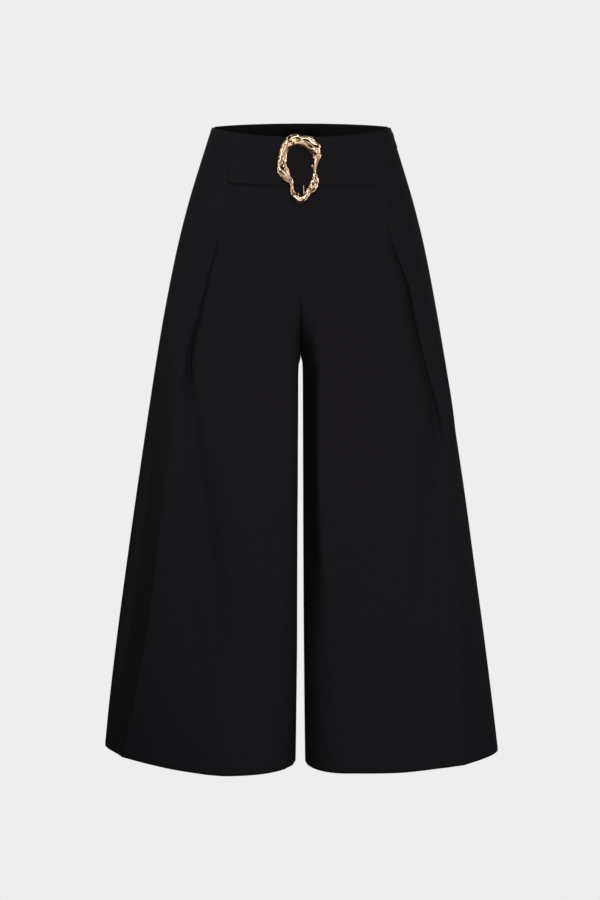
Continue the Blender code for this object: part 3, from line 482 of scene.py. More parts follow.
def front_row(panel, z):
    side = panel.split("_")[1]
    line, corner = panel_line(panel, z)
    pleat, crease, open_ = PLEAT[side], CREASE[side], GAPE[side]
    under, turn = at(pleat, "under", z), at(pleat, "turn", z)
    curve, r = pleat_curve(under, turn, at(pleat, "arc", z), TURN_N)
    hidden = max(0.0, -math.cos(math.radians(turn)))
    centre = line.at_x(at(pleat, "edge", z)) + (under / 2 + r) * hidden
    edge = centre - (under / 2 + r) * hidden
    level = curve[-1][1]
    fold_start, fold_end = centre + curve[0][0], centre + curve[-1][0]
    lip = min(edge, fold_start)
    gate = min(edge - 3.2 - 14 * (1 - hidden), fold_start - 4.0)
    ridge = max(line.at_x(at(crease, "x", z)), fold_end + 6)
    span = line.length - ridge
    proud, crease_in, crease_out, hollow = (at(crease, k, z) for k in ("proud", "wide", "outside", "hollow"))
    # Above its release the fold is sewn shut and lies wholly inside, so only a fine seam shows.
    held = smooth((z - RELEASE[side]) / 9.0)
    sink = level * held
    settle = PLEAT_SETTLE + (0.5 - PLEAT_SETTLE) * held
    deep, wide = at(open_, "deep", z), at(open_, "wide", z)
    valley, valley_in, valley_out = at(open_, "valley", z), at(open_, "inner", z), at(open_, "outer", z)

    def soft(s):
        d = np.abs(s - ridge)
        # The crease is pressed: its two sides meet at an angle, softened over a millimetre or so.
        tent = np.exp(-(np.sqrt(d * d + 0.9) - math.sqrt(0.9)) / np.where(s < ridge, crease_in, crease_out))
        tent = proud * tent * (1 - smooth_a((d - 46) / 30))
        off = s - ridge - 0.60 * span
        return folds_at(panel, line.xs(s), z) + tent - hollow * np.exp(-((off / np.where(off < 0, 0.34 * span, 0.17 * span)) ** 2))

    def gape(s):
        before = np.exp(-(((s - lip) / wide) ** 2))
        after = 1 - hidden * smooth_a((s - lip) / max(fold_start - lip, 0.1))
        return deep * np.where(s < lip, before, after)

    def lower(s):
        dip = valley * np.where(s < lip, np.exp(-(np.maximum(lip - s, 0) / valley_in) ** 2), 1.0)
        return -(level + sink) * smooth_a(1 - (lip - s) / settle) - gape(s) - dip

    def upper(s):
        dip = valley * np.exp(-((s - fold_end) / valley_out) ** 2)
        return (level - sink) * smooth_a(1 - (s - fold_end - under - 4) / PLEAT_SETTLE) - dip

    last = line.length
    inner = list(EDGE)
    a = np.array(inner + corner_places(EDGE[-1] + 1.5, corner, CORNER_N) + spread(corner, gate - 14.0, MIDDLE_N) + spread(gate - 14.0, gate, 6))
    rows = [line.points(a, lower(a) + soft(a) * smooth_a(a / corner) + ripple(panel, last - a, z) * smooth_a(a / 30))]
    near = min(lip + 0.6, fold_start - 0.8)
    step = min(1.2, (lip - gate) * 0.5)
    b = np.array(spread(gate, lip - step, UNDER_N - 6) + spread(lip - step, near, 6) + spread(near, fold_start, 4))
    at_gate, at_end = soft(np.array([gate]))[0], soft(np.array([fold_end]))[0]
    rip = ripple(panel, np.array([last - gate]), z)[0]
    rows.append(line.points(b, lower(b) + at_gate + rip))
    c = centre + curve[:, 0]
    share = np.linspace(0.0, 1.0, len(c))
    rise = curve[:, 1] - sink + at_gate + (at_end - at_gate) * (curve[:, 1] + level) / max(2 * level, 1e-6) + rip
    rise -= deep * (1 - hidden) * smooth_a(1 - share) + valley
    rows.append(line.points(c, rise))
    room = min(16.0, (ridge - fold_end) * 0.8, (last - EDGE[-1] - ridge) * 0.8)
    d = spread(fold_end, ridge - room, OUTER_N)[1:]
    d += list(ridge + NEAR_CREASE * room / 16.0)
    d += spread(ridge + room, last - EDGE[-1] - 1.5, SIDE_N)[1:]
    d += [last - e for e in reversed(EDGE)]
    d = np.array(d)
    ease = smooth_a((last - d) / 25)
    wave = ripple(panel, last - d, z)
    wave += (rip - wave[0]) * smooth_a(1 - (d - d[0]) / 30)
    rows.append(line.points(d, (upper(d) + soft(d) + wave) * ease))
    return np.vstack(rows)


NEAR_DART = np.array([-9.0, -6.0, -4.2, -3.0, -2.1, -1.4, -0.9, -0.45, 0.0, 0.45, 0.9, 1.4, 2.1, 3.0, 4.2, 6.0, 9.0])


def back_row(panel, z):
    line, corner = panel_line(panel, z)
    last = line.length
    x = 66.0 + 8.0 * smooth(-z / 128)
    # The columns gather along the dart, and run on below it.
    dart_at = max(line.at_x(x), corner + 16.0)
    s = list(EDGE) + corner_places(EDGE[-1] + 1.5, corner, BACK_CORNER_N)
    s += spread(corner, dart_at - 9.0, 10) + list(dart_at + NEAR_DART)
    s += spread(dart_at + 9.0, last - EDGE[-1] - 1.5, BACK_MIDDLE_N)[1:] + [last - e for e in reversed(EDGE)]
    s = np.array(s)
    ease = smooth_a(s / corner) * smooth_a((last - s) / 25)
    # The dart: from the waist to its point, a fine groove where the tuck is sewn.
    dart = 0.0
    if z > -128:
        d = s - dart_at
        depth = smooth((z + 128) / 30)
        dart = depth * (0.35 * np.exp(-(((np.abs(d) - 4) / 3.5) ** 2)) - 0.8 * np.exp(-((d / 1.0) ** 2)))
    rise = folds_at(panel, line.xs(s), z) * ease + ripple(panel, last - s, z) * smooth_a(s / 30) * smooth_a((last - s) / 25)
    return line.points(s, rise + dart)


def row_of(panel, z):
    return front_row(panel, z) if panel.startswith("front") else back_row(panel, z)


def heights():
    """The rows of the shells: closest where the crotch seam turns under."""
    z = list(np.linspace(0.0, CROTCH_TOP_Z, 66)[:-1])
    z += [CROTCH_TOP_Z - (CROTCH_TOP_Z - CROTCH_Z) * math.sin(math.radians(a)) for a in np.arange(0, 90, 2.1)]
    z += list(np.linspace(CROTCH_Z, HEM_Z, 142))
    return z


ROWS = heights()


def top_shift(panel, y):
    face, side = panel.split("_")
    deep = at(BODY, "front_" + side if face == "front" else "back", 0.0)
    turn = min(1.0, abs(y) / deep)
    end = WAIST_FRONT_DROP if face == "front" else WAIST_BACK_DROP
    return -(WAIST_SIDE_DROP + (end - WAIST_SIDE_DROP) * turn * turn)


def hem_shift(panel, x):
    face, side = panel.split("_")
    wide = at(BODY, "half_" + side, HEM_Z)
    flat = at(FLAT, face + "_" + side, HEM_Z)
    share = min(max((x - flat) / (wide - flat), 0.0), 1.0)
    return HEM_SIDE_RISE[side] * share * share


def panel_grid(panel):
    """The middle of a panel's wall as rows by columns by (x, y, z), for a half at +x."""
    flat_rows = [row_of(panel, z) for z in ROWS]
    rows = []
    stretch = 26.0  # the waist edge's shape dies out over this height
    for i, z in enumerate(ROWS):
        level = flat_rows[i]
        zz = np.full(len(level), z)
        share = 1 - smooth(-z / stretch) if z > -stretch else 0.0
        if share > 0:
            zz += np.array([top_shift(panel, y) for y in level[:, 1]]) * share
        low = 1 - smooth((z - HEM_Z) / 40.0)
        if low > 0:
            zz += np.array([hem_shift(panel, x) for x in level[:, 0]]) * low
        rows.append(np.column_stack([level, zz]))
    grid = np.array(rows)
    # The moved points follow the panel's own section at the height they have moved to.
    down = [-z for z in ROWS]
    for i, z in enumerate(ROWS):
        if -stretch < z or z < HEM_Z + 40:
            for j in range(grid.shape[1]):
                t = np.interp(-grid[i, j, 2], down, np.arange(len(ROWS)))
                k = min(int(t), len(ROWS) - 2)
                grid[i, j, :2] = flat_rows[k][j] * (1 - (t - k)) + flat_rows[k + 1][j] * (t - k)
    return grid


def normals_of(panel, grid):
    outward = 1 if panel.startswith("front") else -1
    ahead = np.diff(grid[:, :, :2], axis=1)
    ahead /= np.maximum(np.linalg.norm(ahead, axis=2), 1e-9)[:, :, None]
    a = np.concatenate([ahead[:, :1], ahead], axis=1)
    b = np.concatenate([ahead, ahead[:, -1:]], axis=1)
    t = a + b
    t /= np.maximum(np.linalg.norm(t, axis=2), 1e-9)[:, :, None]
    normal = np.stack([t[:, :, 1], -t[:, :, 0], np.zeros(t.shape[:2])], 2) * outward
    for i in range(len(ROWS)):
        line, _ = panel_line(panel, grid[i, -1, 2])
        for j in range(1, 4):
            normal[i, -j, :2] = line.n[-1]
        if ROWS[i] <= CROTCH_Z:
            normal[i, 0:3] = (-1.0, 0.0, 0.0)
    return normal


# ---------------------------------------------------------------- meshes


def new_object(name, verts, faces, material, uv=None):
    """A mesh object from points in mm. uv holds one (u, v) in mm for each point."""
    mesh = bpy.data.meshes.new(name)
    mesh.from_pydata((np.asarray(verts) * MM).tolist(), [], faces)
    if uv is not None:
        layer = mesh.uv_layers.new(name="cloth")
        loops = np.empty(len(mesh.loops), np.int32)
        mesh.loops.foreach_get("vertex_index", loops)
        layer.uv.foreach_set("vector", (np.asarray(uv)[loops] * 0.01).astype(np.float32).ravel())
    bm = bmesh.new()
    bm.from_mesh(mesh)
    bmesh.ops.recalc_face_normals(bm, faces=bm.faces)
    bm.to_mesh(mesh)
    bm.free()
    mesh.shade_smooth()
    obj = bpy.data.objects.new(name, mesh)
    bpy.context.scene.collection.objects.link(obj)
    mesh.materials.append(material)
    return obj


def strip_faces(rows, cols, base, flip=False):
    i, j = np.meshgrid(np.arange(rows - 1), np.arange(cols - 1), indexing="ij")
    a = base + i * cols + j
    quads = np.stack([a, a + cols, a + cols + 1, a + 1], 2).reshape(-1, 4)
    return (quads[:, ::-1] if flip else quads).tolist()


def shell(name, outer, inner, material, uv, closed_edges=True):
    """A closed wall between two grids of the same size."""
    rows, cols = outer.shape[:2]
    n = rows * cols
    verts = np.concatenate([outer.reshape(-1, 3), inner.reshape(-1, 3)])
    faces = strip_faces(rows, cols, 0) + strip_faces(rows, cols, n, True)

    def rim(path):
        for p, q in zip(path[:-1], path[1:]):
            faces.append([p, p + n, q + n, q])

    rim([j for j in range(cols)][::-1])
    rim([(rows - 1) * cols + j for j in range(cols)])
    rim([i * cols for i in range(rows)])
    rim([i * cols + cols - 1 for i in range(rows)][::-1])
    return new_object(name, verts, faces, material, np.concatenate([uv, uv]))


def along_lengths(grid):
    """Each point's cloth coordinates in mm: along its row, and up."""
    step = np.linalg.norm(np.diff(grid, axis=1), axis=2)
    u = np.concatenate([np.zeros((len(grid), 1)), np.cumsum(step, axis=1)], axis=1)
    v = np.broadcast_to(grid[:, :, 2], u.shape)
    return np.stack([u, v], 2).reshape(-1, 2)


def edge_share(rows_z, cols):
    """How thick the wall is at each point, from 0 to 1: it rounds off at its seams and edges."""
    d_col = np.full(cols, 99.0)
    for k, e in enumerate(EDGE):
        d_col[k] = e
        d_col[cols - 1 - k] = e
    top, low = rows_z[0], rows_z[-1]
    d_row = np.minimum(np.abs(top - np.array(rows_z)), np.abs(np.array(rows_z) - low))

    def rounded(d, r):
        return np.sqrt(np.maximum(0.0, 1 - np.clip(1 - d / r, 0, 1) ** 2))

    share = np.minimum(rounded(d_row, 0.85)[:, None], rounded(d_col, 0.75)[None, :])
    return np.maximum(share, 0.12)


def seam_strip(grid, inward, from_end, z_low, z_high, width=11.0):
    """A pressed-open seam allowance inside a panel, along one of its seams: (outer, inner) grids."""
    places = np.array([0.0, 2.0, 4.5, 7.0, 9.0, width - 0.4, width])
    outer, inner = [], []
    for i in range(len(ROWS)):
        if not z_low <= ROWS[i] <= z_high:
            continue
        row, n = (grid[i, ::-1], inward[i, ::-1]) if from_end else (grid[i], inward[i])
        s = np.concatenate([[0], np.cumsum(np.linalg.norm(np.diff(row, axis=0), axis=1))])
        p = np.stack([np.interp(places, s, row[:, k]) for k in range(3)], 1)
        m = np.stack([np.interp(places, s, n[:, k]) for k in range(3)], 1)
        m /= np.linalg.norm(m, axis=1)[:, None]
        thick = np.array([0.5, 0.5, 0.5, 0.5, 0.5, 0.5, 0.1])
        outer.append(p + m * 0.12)
        inner.append(p + m * (0.12 + thick)[:, None])
    return np.array(outer), np.array(inner)


def crotch_strip(panel, middle):
    """The seam allowance along the curved crotch seam, inside it: (outer, inner) grids."""
    into = 1.0 if panel.startswith("front") else -1.0
    rows = [i for i, z in enumerate(ROWS) if CROTCH_Z <= z <= CROTCH_TOP_Z + 16.0]
    y, z = middle[rows, 0, 1], middle[rows, 0, 2]
    ty, tz = np.gradient(y), np.gradient(z)
    run = np.hypot(ty, tz)
    ny, nz = -tz / run * into, ty / run * into
    across_x = np.array([-2.6, -1.3, 0.0, 1.3, 2.6])
    grids = []
    for off in (0.62, 1.05):
        grid = np.zeros((len(rows), len(across_x), 3))
        grid[:, :, 0] = across_x
        grid[:, :, 1] = (y + ny * off)[:, None]
        grid[:, :, 2] = (z + nz * off)[:, None]
        grids.append(grid)
    return grids


GRIDS = {}


def cloth_panel(panel, material):
    """One cut piece as a closed shell, with its hem's turning and its seam allowances inside."""
    middle = panel_grid(panel)
    normal = normals_of(panel, middle)
    share = edge_share(ROWS, middle.shape[1]) * (SHOWN_CLOTH / 2)
    turned = np.array([smooth(1 - (z - HEM_Z - HEM_TURN) / 1.2) for z in ROWS]) * 0.75
    turned *= np.array([1.0 if z > HEM_Z + 1.5 else 0.4 for z in ROWS])
    outer = middle + normal * share[:, :, None]
    inner = middle - normal * (share + turned[:, None] * np.minimum(share / (SHOWN_CLOTH / 2), 1.0))[:, :, None]
    for grid in (outer, inner, middle):
        grid[:, :, 0] = np.maximum(grid[:, :, 0], 0.01)
    uv = along_lengths(middle)
    if panel.endswith("left"):
        for grid in (outer, inner, middle, normal):
            grid[:, :, 0] *= -1
    obj = shell("cloth_" + panel, outer, inner, material, uv)
    # The inner faces of the top 46 mm, seen inside the waist, get a darker copy of the suiting: painted shade.
    obj.data.materials.append(inside)
    rows, cols = len(ROWS), middle.shape[1]
    shaded_waist_rows = [i for i, z in enumerate(ROWS[:-1]) if z > -46.0]
    for face in obj.data.polygons[(rows - 1) * (cols - 1) : (rows - 1) * (cols - 1) + len(shaded_waist_rows) * (cols - 1)]:
        face.material_index = 1
    GRIDS[panel] = (outer, inner, normal, middle)
    strips = []
    zip_side = panel in ("front_right", "back_right")
    seam_low = HEM_Z + 2.0
    strips.append(seam_strip(inner, -normal, True, seam_low, ZIP_BOTTOM_Z - 4 if zip_side else -4.0))
    strips.append(seam_strip(inner, -normal, False, CROTCH_TOP_Z + 4, -32.0 if panel.startswith("back") else -4.0))
    strips.append(seam_strip(inner, -normal, False, seam_low, CROTCH_Z - 6))
    if panel.endswith("right"):
        strips.append(crotch_strip(panel, middle))
    made = []
    for k, (a, b) in enumerate(strips):
        if len(a) > 1:
            made.append(shell("strip", a, b, material, along_lengths(a)))
    join(obj, made)
    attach(obj, BODY_NAME)
    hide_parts(panel)
    return obj


def join(obj, others):
    """Adds the others' geometry to obj."""
    if not others:
        return
    with bpy.context.temp_override(active_object=obj, object=obj, selected_objects=[obj, *others], selected_editable_objects=[obj, *others]):
        bpy.ops.object.join()


def front_line(z):
    """The fronts' outer surface at a height, between the two pleats: points by rising x, and normals."""
    stop = len(EDGE) + CORNER_N + MIDDLE_N + 6 + 9
    out = []
    for which in (0, 2):
        sides = []
        for panel in ("front_left", "front_right"):
            grid = GRIDS[panel][which]
            heights_here = GRIDS[panel][0][:, 2, 2]
            t = np.interp(-z, -heights_here, np.arange(len(heights_here)))
            k = min(int(t), len(grid) - 2)
            row = grid[k, :stop] * (1 - (t - k)) + grid[k + 1, :stop] * (t - k)
            sides.append(row[::-1] if panel.endswith("left") else row)
        # The groove of the middle seam is bridged.
        out.append(np.concatenate([sides[0][:-5], sides[1][5:]]))
    return out


def on_line(line, normals, x):
    p = np.stack([np.interp(x, line[:, 0], line[:, k]) for k in range(3)], 1)
    n = np.stack([np.interp(x, line[:, 0], normals[:, k]) for k in range(3)], 1)
    return p, n / np.linalg.norm(n, axis=1)[:, None]


def belt_lift(x):
    return BELT_BAR_LIFT * smooth_a(1 - (np.abs(x - BAR_X) - 2.2) / BELT_LIFT_REACH)


def belt_panel(material):
    """The wide belt: a flat tube of cloth, pressed at its edges, over the bar."""
    share = np.array([0.0, 0.006, 0.016, 0.03, 0.05, 0.09, 0.15, 0.22, 0.3, 0.4, 0.5, 0.6, 0.7, 0.78, 0.85, 0.91, 0.95, 0.97, 0.984, 0.994, 1.0])
    ends = {}
    for z in (BELT_TOP_Z, BELT_BOTTOM_Z):
        line, _ = front_line(z)
        ends[z] = (line[2, 0], line[-3, 0])
    outer, inner = [], []
    for v in share:
        left = ends[BELT_TOP_Z][0] + (ends[BELT_BOTTOM_Z][0] - ends[BELT_TOP_Z][0]) * v + 0.2
        right = ends[BELT_TOP_Z][1] + (ends[BELT_BOTTOM_Z][1] - ends[BELT_TOP_Z][1]) * v - 0.2
        u = np.linspace(0, 1, 91)
        x = left + (right - left) * u
        top = BELT_TOP_Z - 0.9 + 0.010 * x
        low = BELT_BOTTOM_Z + 0.4 - 0.0125 * x
        z_here = top + (low - top) * v
        p, n = np.empty((len(x), 3)), np.empty((len(x), 3))
        for k, (xx, zz) in enumerate(zip(x, z_here)):
            line, normals = front_line(zz)
            pk, nk = on_line(line, normals, np.array([xx - 5.0, xx, xx + 5.0]))
            p[k], n[k] = pk[1], nk.mean(0)
        n /= np.linalg.norm(n, axis=1)[:, None]
        near = np.minimum(v, 1 - v) * 54.0
        half = BELT_CLOTH / 2 * math.sqrt(max(0.02, 1 - max(0.0, 1 - near / 0.9) ** 2))
        stand = 2.4 * smooth((v - 0.62) / 0.38) + 0.12
        tuck = smooth_a(np.minimum(x - left, right - x) / 3.0)
        wave = np.array([0.30 * noise.noise(Vector((xx / 34.0, v * 1.3, 5.5))) for xx in x])
        # Slight pulls towards the bar.
        pull = 0.22 * np.sin(v * 19.0 + x * 0.02) * np.exp(-((np.abs(x - BAR_X) - 26) / 20.0) ** 2) * math.sin(math.pi * v)
        off = CLOTH / 2 - SHOWN_CLOTH / 2 + LAY_GAP + BELT_CLOTH / 2 + belt_lift(x) + (stand + np.maximum(wave + pull, -0.1)) * smooth_a(np.minimum(u, 1 - u) * 14)
        off = 0.55 + (off - 0.55) * tuck
        half = half * (0.55 + 0.45 * tuck)
        outer.append(p + n * (off + half)[:, None])
        inner.append(p + n * (off - half)[:, None])
    outer, inner = np.array(outer), np.array(inner)
    obj = shell("cloth_belt", outer, inner, material, along_lengths((outer + inner) / 2))
    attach(obj, BODY_NAME)
    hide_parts("belt_panel")
    return obj, outer


def back_line(z):
    """The backs' inner surface at a height, near the middle: points by rising x, and inward normals."""
    out = []
    for which, sign in ((1, 1), (2, -1)):
        sides = []
        for panel in ("back_left", "back_right"):
            grid = GRIDS[panel][which]
            heights_here = GRIDS[panel][1][:, 8, 2]
            t = np.interp(-z, -heights_here, np.arange(len(heights_here)))
            k = min(int(t), len(grid) - 2)
            row = (grid[k] * (1 - (t - k)) + grid[k + 1] * (t - k))[5:34] * sign
            sides.append(row[::-1] if panel.endswith("left") else row)
        out.append(np.concatenate(sides))
    return out


def label_piece(material, thread):
    """The bare woven label: a ribbon with its ends folded under, sewn on at each end."""
    us = np.array([0, 0.006, 0.02, 0.05, 0.1, 0.13, 0.16, 0.25, 0.35, 0.45, 0.55, 0.65, 0.75, 0.84, 0.87, 0.9, 0.95, 0.98, 0.994, 1.0])
    x = LABEL_X + (us - 0.5) * (LABEL_SIZE[0] - 0.6)
    vs = np.array([0, 0.012, 0.04, 0.12, 0.3, 0.5, 0.7, 0.88, 0.96, 0.988, 1.0])
    outer, inner = [], []
    for v in vs:
        z = LABEL_TOP_Z - 0.2 - (LABEL_SIZE[1] - 0.4) * v
        line, normals = back_line(z)
        p, n = on_line(line, normals, x)
        folded = 0.22 * smooth_a((np.abs(us - 0.5) - 0.36) / 0.03)
        bow = 0.35 * math.sin(math.pi * v) * np.sin(math.pi * us) ** 2
        edge = np.minimum(np.minimum(us, 1 - us) * LABEL_SIZE[0], min(v, 1 - v) * LABEL_SIZE[1])
        half = 0.3 * np.sqrt(np.maximum(0.08, 1 - np.clip(1 - edge / 0.3, 0, 1) ** 2))
        off = LAY_GAP + 0.42 + bow
        outer.append(p + n * (off + half + folded)[:, None])
        inner.append(p + n * (off - half)[:, None])
    outer, inner = np.array(outer), np.array(inner)
    obj = shell("label_ribbon", outer, inner, material, along_lengths(outer))
    stitches = []
    for end in (3, len(us) - 4):
        column = outer[:, end]
        stitches.append(column[1:-1])
    made = stitch_row("label_stitches", stitches, thread, 1.7, 0.9, 0.16)
    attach(obj, BODY_NAME)
    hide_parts("label")
    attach(made, BODY_NAME)
    return obj, made


def stitch_row(name, paths, material, length, gap, radius):
    """Small threads along paths, each a pinched rod that sinks in at its ends."""
    verts, faces, uv = [], [], []
    sides = 6
    for path in paths:
        s = np.concatenate([[0], np.cumsum(np.linalg.norm(np.diff(path, axis=0), axis=1))])
        start = gap
        while start + length < s[-1]:
            along = np.array([0, 0.18, 0.5, 0.82, 1.0]) * length + start
            p = np.stack([np.interp(along, s, path[:, k]) for k in range(3)], 1)
            t = (p[-1] - p[0]) / np.linalg.norm(p[-1] - p[0])
            u = np.cross(t, [0.0, 0.0, 1.0] if abs(t[2]) < 0.9 else [0.0, 1.0, 0.0])
            u /= np.linalg.norm(u)
            w = np.cross(t, u)
            base = len(verts)
            for q, r in zip(p, (0.35, 0.9, 1.0, 0.9, 0.35)):
                for k in range(sides):
                    a = 2 * math.pi * k / sides
                    verts.append(q + (u * math.cos(a) + w * math.sin(a)) * radius * r)
                    uv.append((k, start))
            for m in range(4):
                for k in range(sides):
                    n = (k + 1) % sides
                    b = base + m * sides
                    faces.append([b + k, b + n, b + sides + n, b + sides + k])
            faces.append([base + k for k in range(sides)][::-1])
            faces.append([base + 4 * sides + k for k in range(sides)])
            start += length + gap
    return new_object(name, np.array(verts), faces, material, np.array(uv))


def pleat_stitches(material):
    """The line of stitches that holds each pleat shut, along the edge of its top layer."""
    paths = []
    top = len(EDGE) + CORNER_N + MIDDLE_N + 6 + UNDER_N + 4 + 2 * (TURN_N + 1) - 1
    for panel, low in (("front_left", -150.0), ("front_right", -136.0)):
        outer, _, normal, _ = GRIDS[panel]
        keep = [i for i, z in enumerate(ROWS) if low <= z <= -3.0]
        a, b = outer[keep, top], outer[keep, top + 1]
        ahead = (b - a) / np.linalg.norm(b - a, axis=1)[:, None]
        paths.append(a + ahead * 0.9 + normal[keep, top] * 0.04)
    made = stitch_row("pleat_stitches", paths, material, 2.3, 1.1, 0.17)
    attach(made, BODY_NAME)
    return made


# ---------------------------------------------------------------- the buckle

RING = columns(
    "x up half_width half_height",
    [
        (-5.6, 37.9, 7.7, 4.4),
        (1.3, 36.4, 6.4, 4.0),
        (8.1, 35.2, 8.0, 4.4),
        (15.2, 31.3, 9.3, 4.5),
        (19.6, 24.7, 7.8, 4.4),
        (20.8, 17.4, 5.8, 3.8),
        (20.0, 7.9, 3.1, 3.1),
        (19.0, 2.1, 2.2, 2.8),
        (18.4, -2.5, 2.3, 2.8),
        (19.2, -8.0, 3.4, 3.2),
        (19.6, -14.1, 4.5, 3.5),
        (17.9, -19.2, 6.2, 3.9),
        (15.6, -24.0, 6.6, 4.0),
        (11.8, -28.8, 4.7, 3.5),
        (8.5, -35.4, 3.7, 3.2),
        (0.0, -38.6, 4.5, 3.5),
        (-5.2, -36.1, 4.2, 3.4),
        (-9.4, -30.6, 3.7, 3.2),
        (-11.0, -22.6, 2.5, 2.9),
        (-11.7, -17.1, 3.5, 3.2),
        (-15.7, -12.6, 5.6, 3.8),
        (-20.0, -8.0, 7.4, 4.3),
        (-22.6, -1.4, 7.8, 4.4),
        (-23.7, 5.4, 6.8, 4.1),
        (-23.4, 10.6, 5.8, 3.8),
        (-22.4, 17.8, 5.3, 3.7),
        (-20.1, 26.1, 5.8, 3.8),
        (-16.6, 32.1, 6.7, 4.1),
        (-11.6, 36.6, 7.6, 4.3),
    ],
)


def front_middle(z):
    return -(at(BODY, "front_right", z) - CLOTH / 2)


def loop_points(values, steps):
    n = len(values)
    out = []
    for i in range(n):
        p0, p1, p2, p3 = (values[(i + k) % n] for k in (-1, 0, 1, 2))
        for k in range(steps):
            t = k / steps
            out.append(0.5 * (2 * p1 + (p2 - p0) * t + (2 * p0 - 5 * p1 + 4 * p2 - p3) * t * t + (3 * p1 - p0 - 3 * p2 + p3) * t**3))
    return np.array(out)


def buckle_piece(material):
    """The cast ring: the part's own ring with its hammered ridges and dents, and the bar behind it."""
    top_z, bottom_z = RING_CENTRE_Z + 38, RING_CENTRE_Z - 38
    up = np.array([0.0, front_middle(top_z) - front_middle(bottom_z), top_z - bottom_z])
    up /= np.linalg.norm(up)
    right = np.array([1.0, 0.0, 0.0])
    outward = np.cross(right, up)
    centre = np.array([0.0, front_middle(RING_CENTRE_Z), RING_CENTRE_Z])
    steps, sides = ((14, 84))
    x, v, w, h = (loop_points(RING[k], steps) for k in ("x", "up", "half_width", "half_height"))
    path = np.stack([x, v], 1)
    tangent = np.roll(path, -1, 0) - np.roll(path, 1, 0)
    tangent /= np.linalg.norm(tangent, axis=1)[:, None]
    count = len(path)
    verts = []
    for i in range(count):
        away = np.array([-tangent[i][1], tangent[i][0]])
        share = i / count * 2 * math.pi
        for k in range(sides):
            a = 2 * math.pi * k / sides
            # Long strands that run along the limb and wander round it, with broad dents across them.
            wander = 0.55 * math.sin(share * 2 + 0.6) + 0.4 * math.sin(share * 5 + 2.1) + 0.22 * math.sin(share * 11 + 4.0)
            strand = 0.9 - 1.8 * (1 - abs(math.sin(3 * (a + wander)))) ** 2.6
            strand += 0.25 * math.sin(9 * a - 3.1 * wander + 1.0 + 0.8 * math.sin(share * 7))
            spot = Vector((x[i] / 7.0 + 4.0, v[i] / 7.0, math.sin(a) * h[i] / 4.0 + math.cos(a) * w[i] / 9.0))
            dent = noise.noise(spot)
            strength = 0.35 + 0.65 * min(1.0, w[i] / 6.5)
            face = 0.10 + 0.90 * max(0.0, math.sin(a)) ** 0.6
            move = (strand * 0.52 + dent * 0.50) * strength * face - 0.12
            ww, hh = w[i] + move, h[i] + move
            flat = path[i] + away * ww * math.cos(a)
            rise = RING_BACK + h[i] + hh * math.sin(a)
            verts.append(centre + right * flat[0] + up * flat[1] + outward * rise)
    faces = []
    for i in range(count):
        for k in range(sides):
            a, b = i * sides, (i + 1) % count * sides
            n = (k + 1) % sides
            faces.append([a + k, a + n, b + n, b + k])
    obj = new_object("buckle_casting", np.array(verts), faces, material)

    bar_off = CLOTH / 2 + LAY_GAP + BAR_RADIUS + 0.2
    top = np.array([BAR_X - BAR_LEAN, front_middle(BAR_SPAN_Z[0]) - bar_off, BAR_SPAN_Z[0]])
    bottom = np.array([BAR_X + BAR_LEAN, front_middle(BAR_SPAN_Z[1]) - bar_off, BAR_SPAN_Z[1]])
    made = [rod("bar", [top + up * 1.2, top, (top + bottom) / 2, bottom, bottom - up * 1.2], [0.6, 1.2, 1.15, 1.2, 0.6], material)]
    for place in (top, bottom):
        reach = RING_BACK + 1.6 - bar_off + CLOTH / 2
        made.append(rod("post", [place - outward * 0.9, place + outward * reach * 0.5, place + outward * reach], [1.45, 1.4, 1.9], material))
    # A small lug inside the thin limb and a bead by the foot of the bar, as castings have.
    lug = centre + right * 15.6 + up * 4.6 + outward * (RING_BACK + 1.9)
    made.append(rod("lug", [lug - up * 2.6, lug - up * 1.3, lug, lug + up * 1.4, lug + up * 2.6], [0.4, 1.3, 1.6, 1.3, 0.4], material))
    bead = centre + right * -2.6 + up * -31.6 + outward * (RING_BACK + 1.2)
    turn = (right * 0.8 - up * 0.6)
    made.append(rod("bead", [bead - turn * 2.4, bead - turn * 1.2, bead, bead + turn * 1.2, bead + turn * 2.4], [0.3, 1.0, 1.2, 1.0, 0.3], material))
    join(obj, made)
    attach(obj, BODY_NAME)
    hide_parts("buckle")
    return obj


def rod(name, points, radii, material, sides=20):
    """A round rod through points, with a radius at each."""
    points = np.array(points, float)
    verts, faces = [], []
    axis = points[-1] - points[0]
    axis /= np.linalg.norm(axis)
    u = np.cross(axis, [1.0, 0.0, 0.0] if abs(axis[0]) < 0.9 else [0.0, 1.0, 0.0])
    u /= np.linalg.norm(u)
    w = np.cross(axis, u)
    for p, r in zip(points, radii):
        for k in range(sides):
            a = 2 * math.pi * k / sides
            verts.append(p + (u * math.cos(a) + w * math.sin(a)) * r)
    for m in range(len(points) - 1):
        for k in range(sides):
            n = (k + 1) % sides
            b = m * sides
            faces.append([b + k, b + n, b + sides + n, b + sides + k])
    faces.append([k for k in range(sides)][::-1])
    faces.append([(len(points) - 1) * sides + k for k in range(sides)])
    return new_object(name, np.array(verts), faces, material)


# ---------------------------------------------------------------- the zip


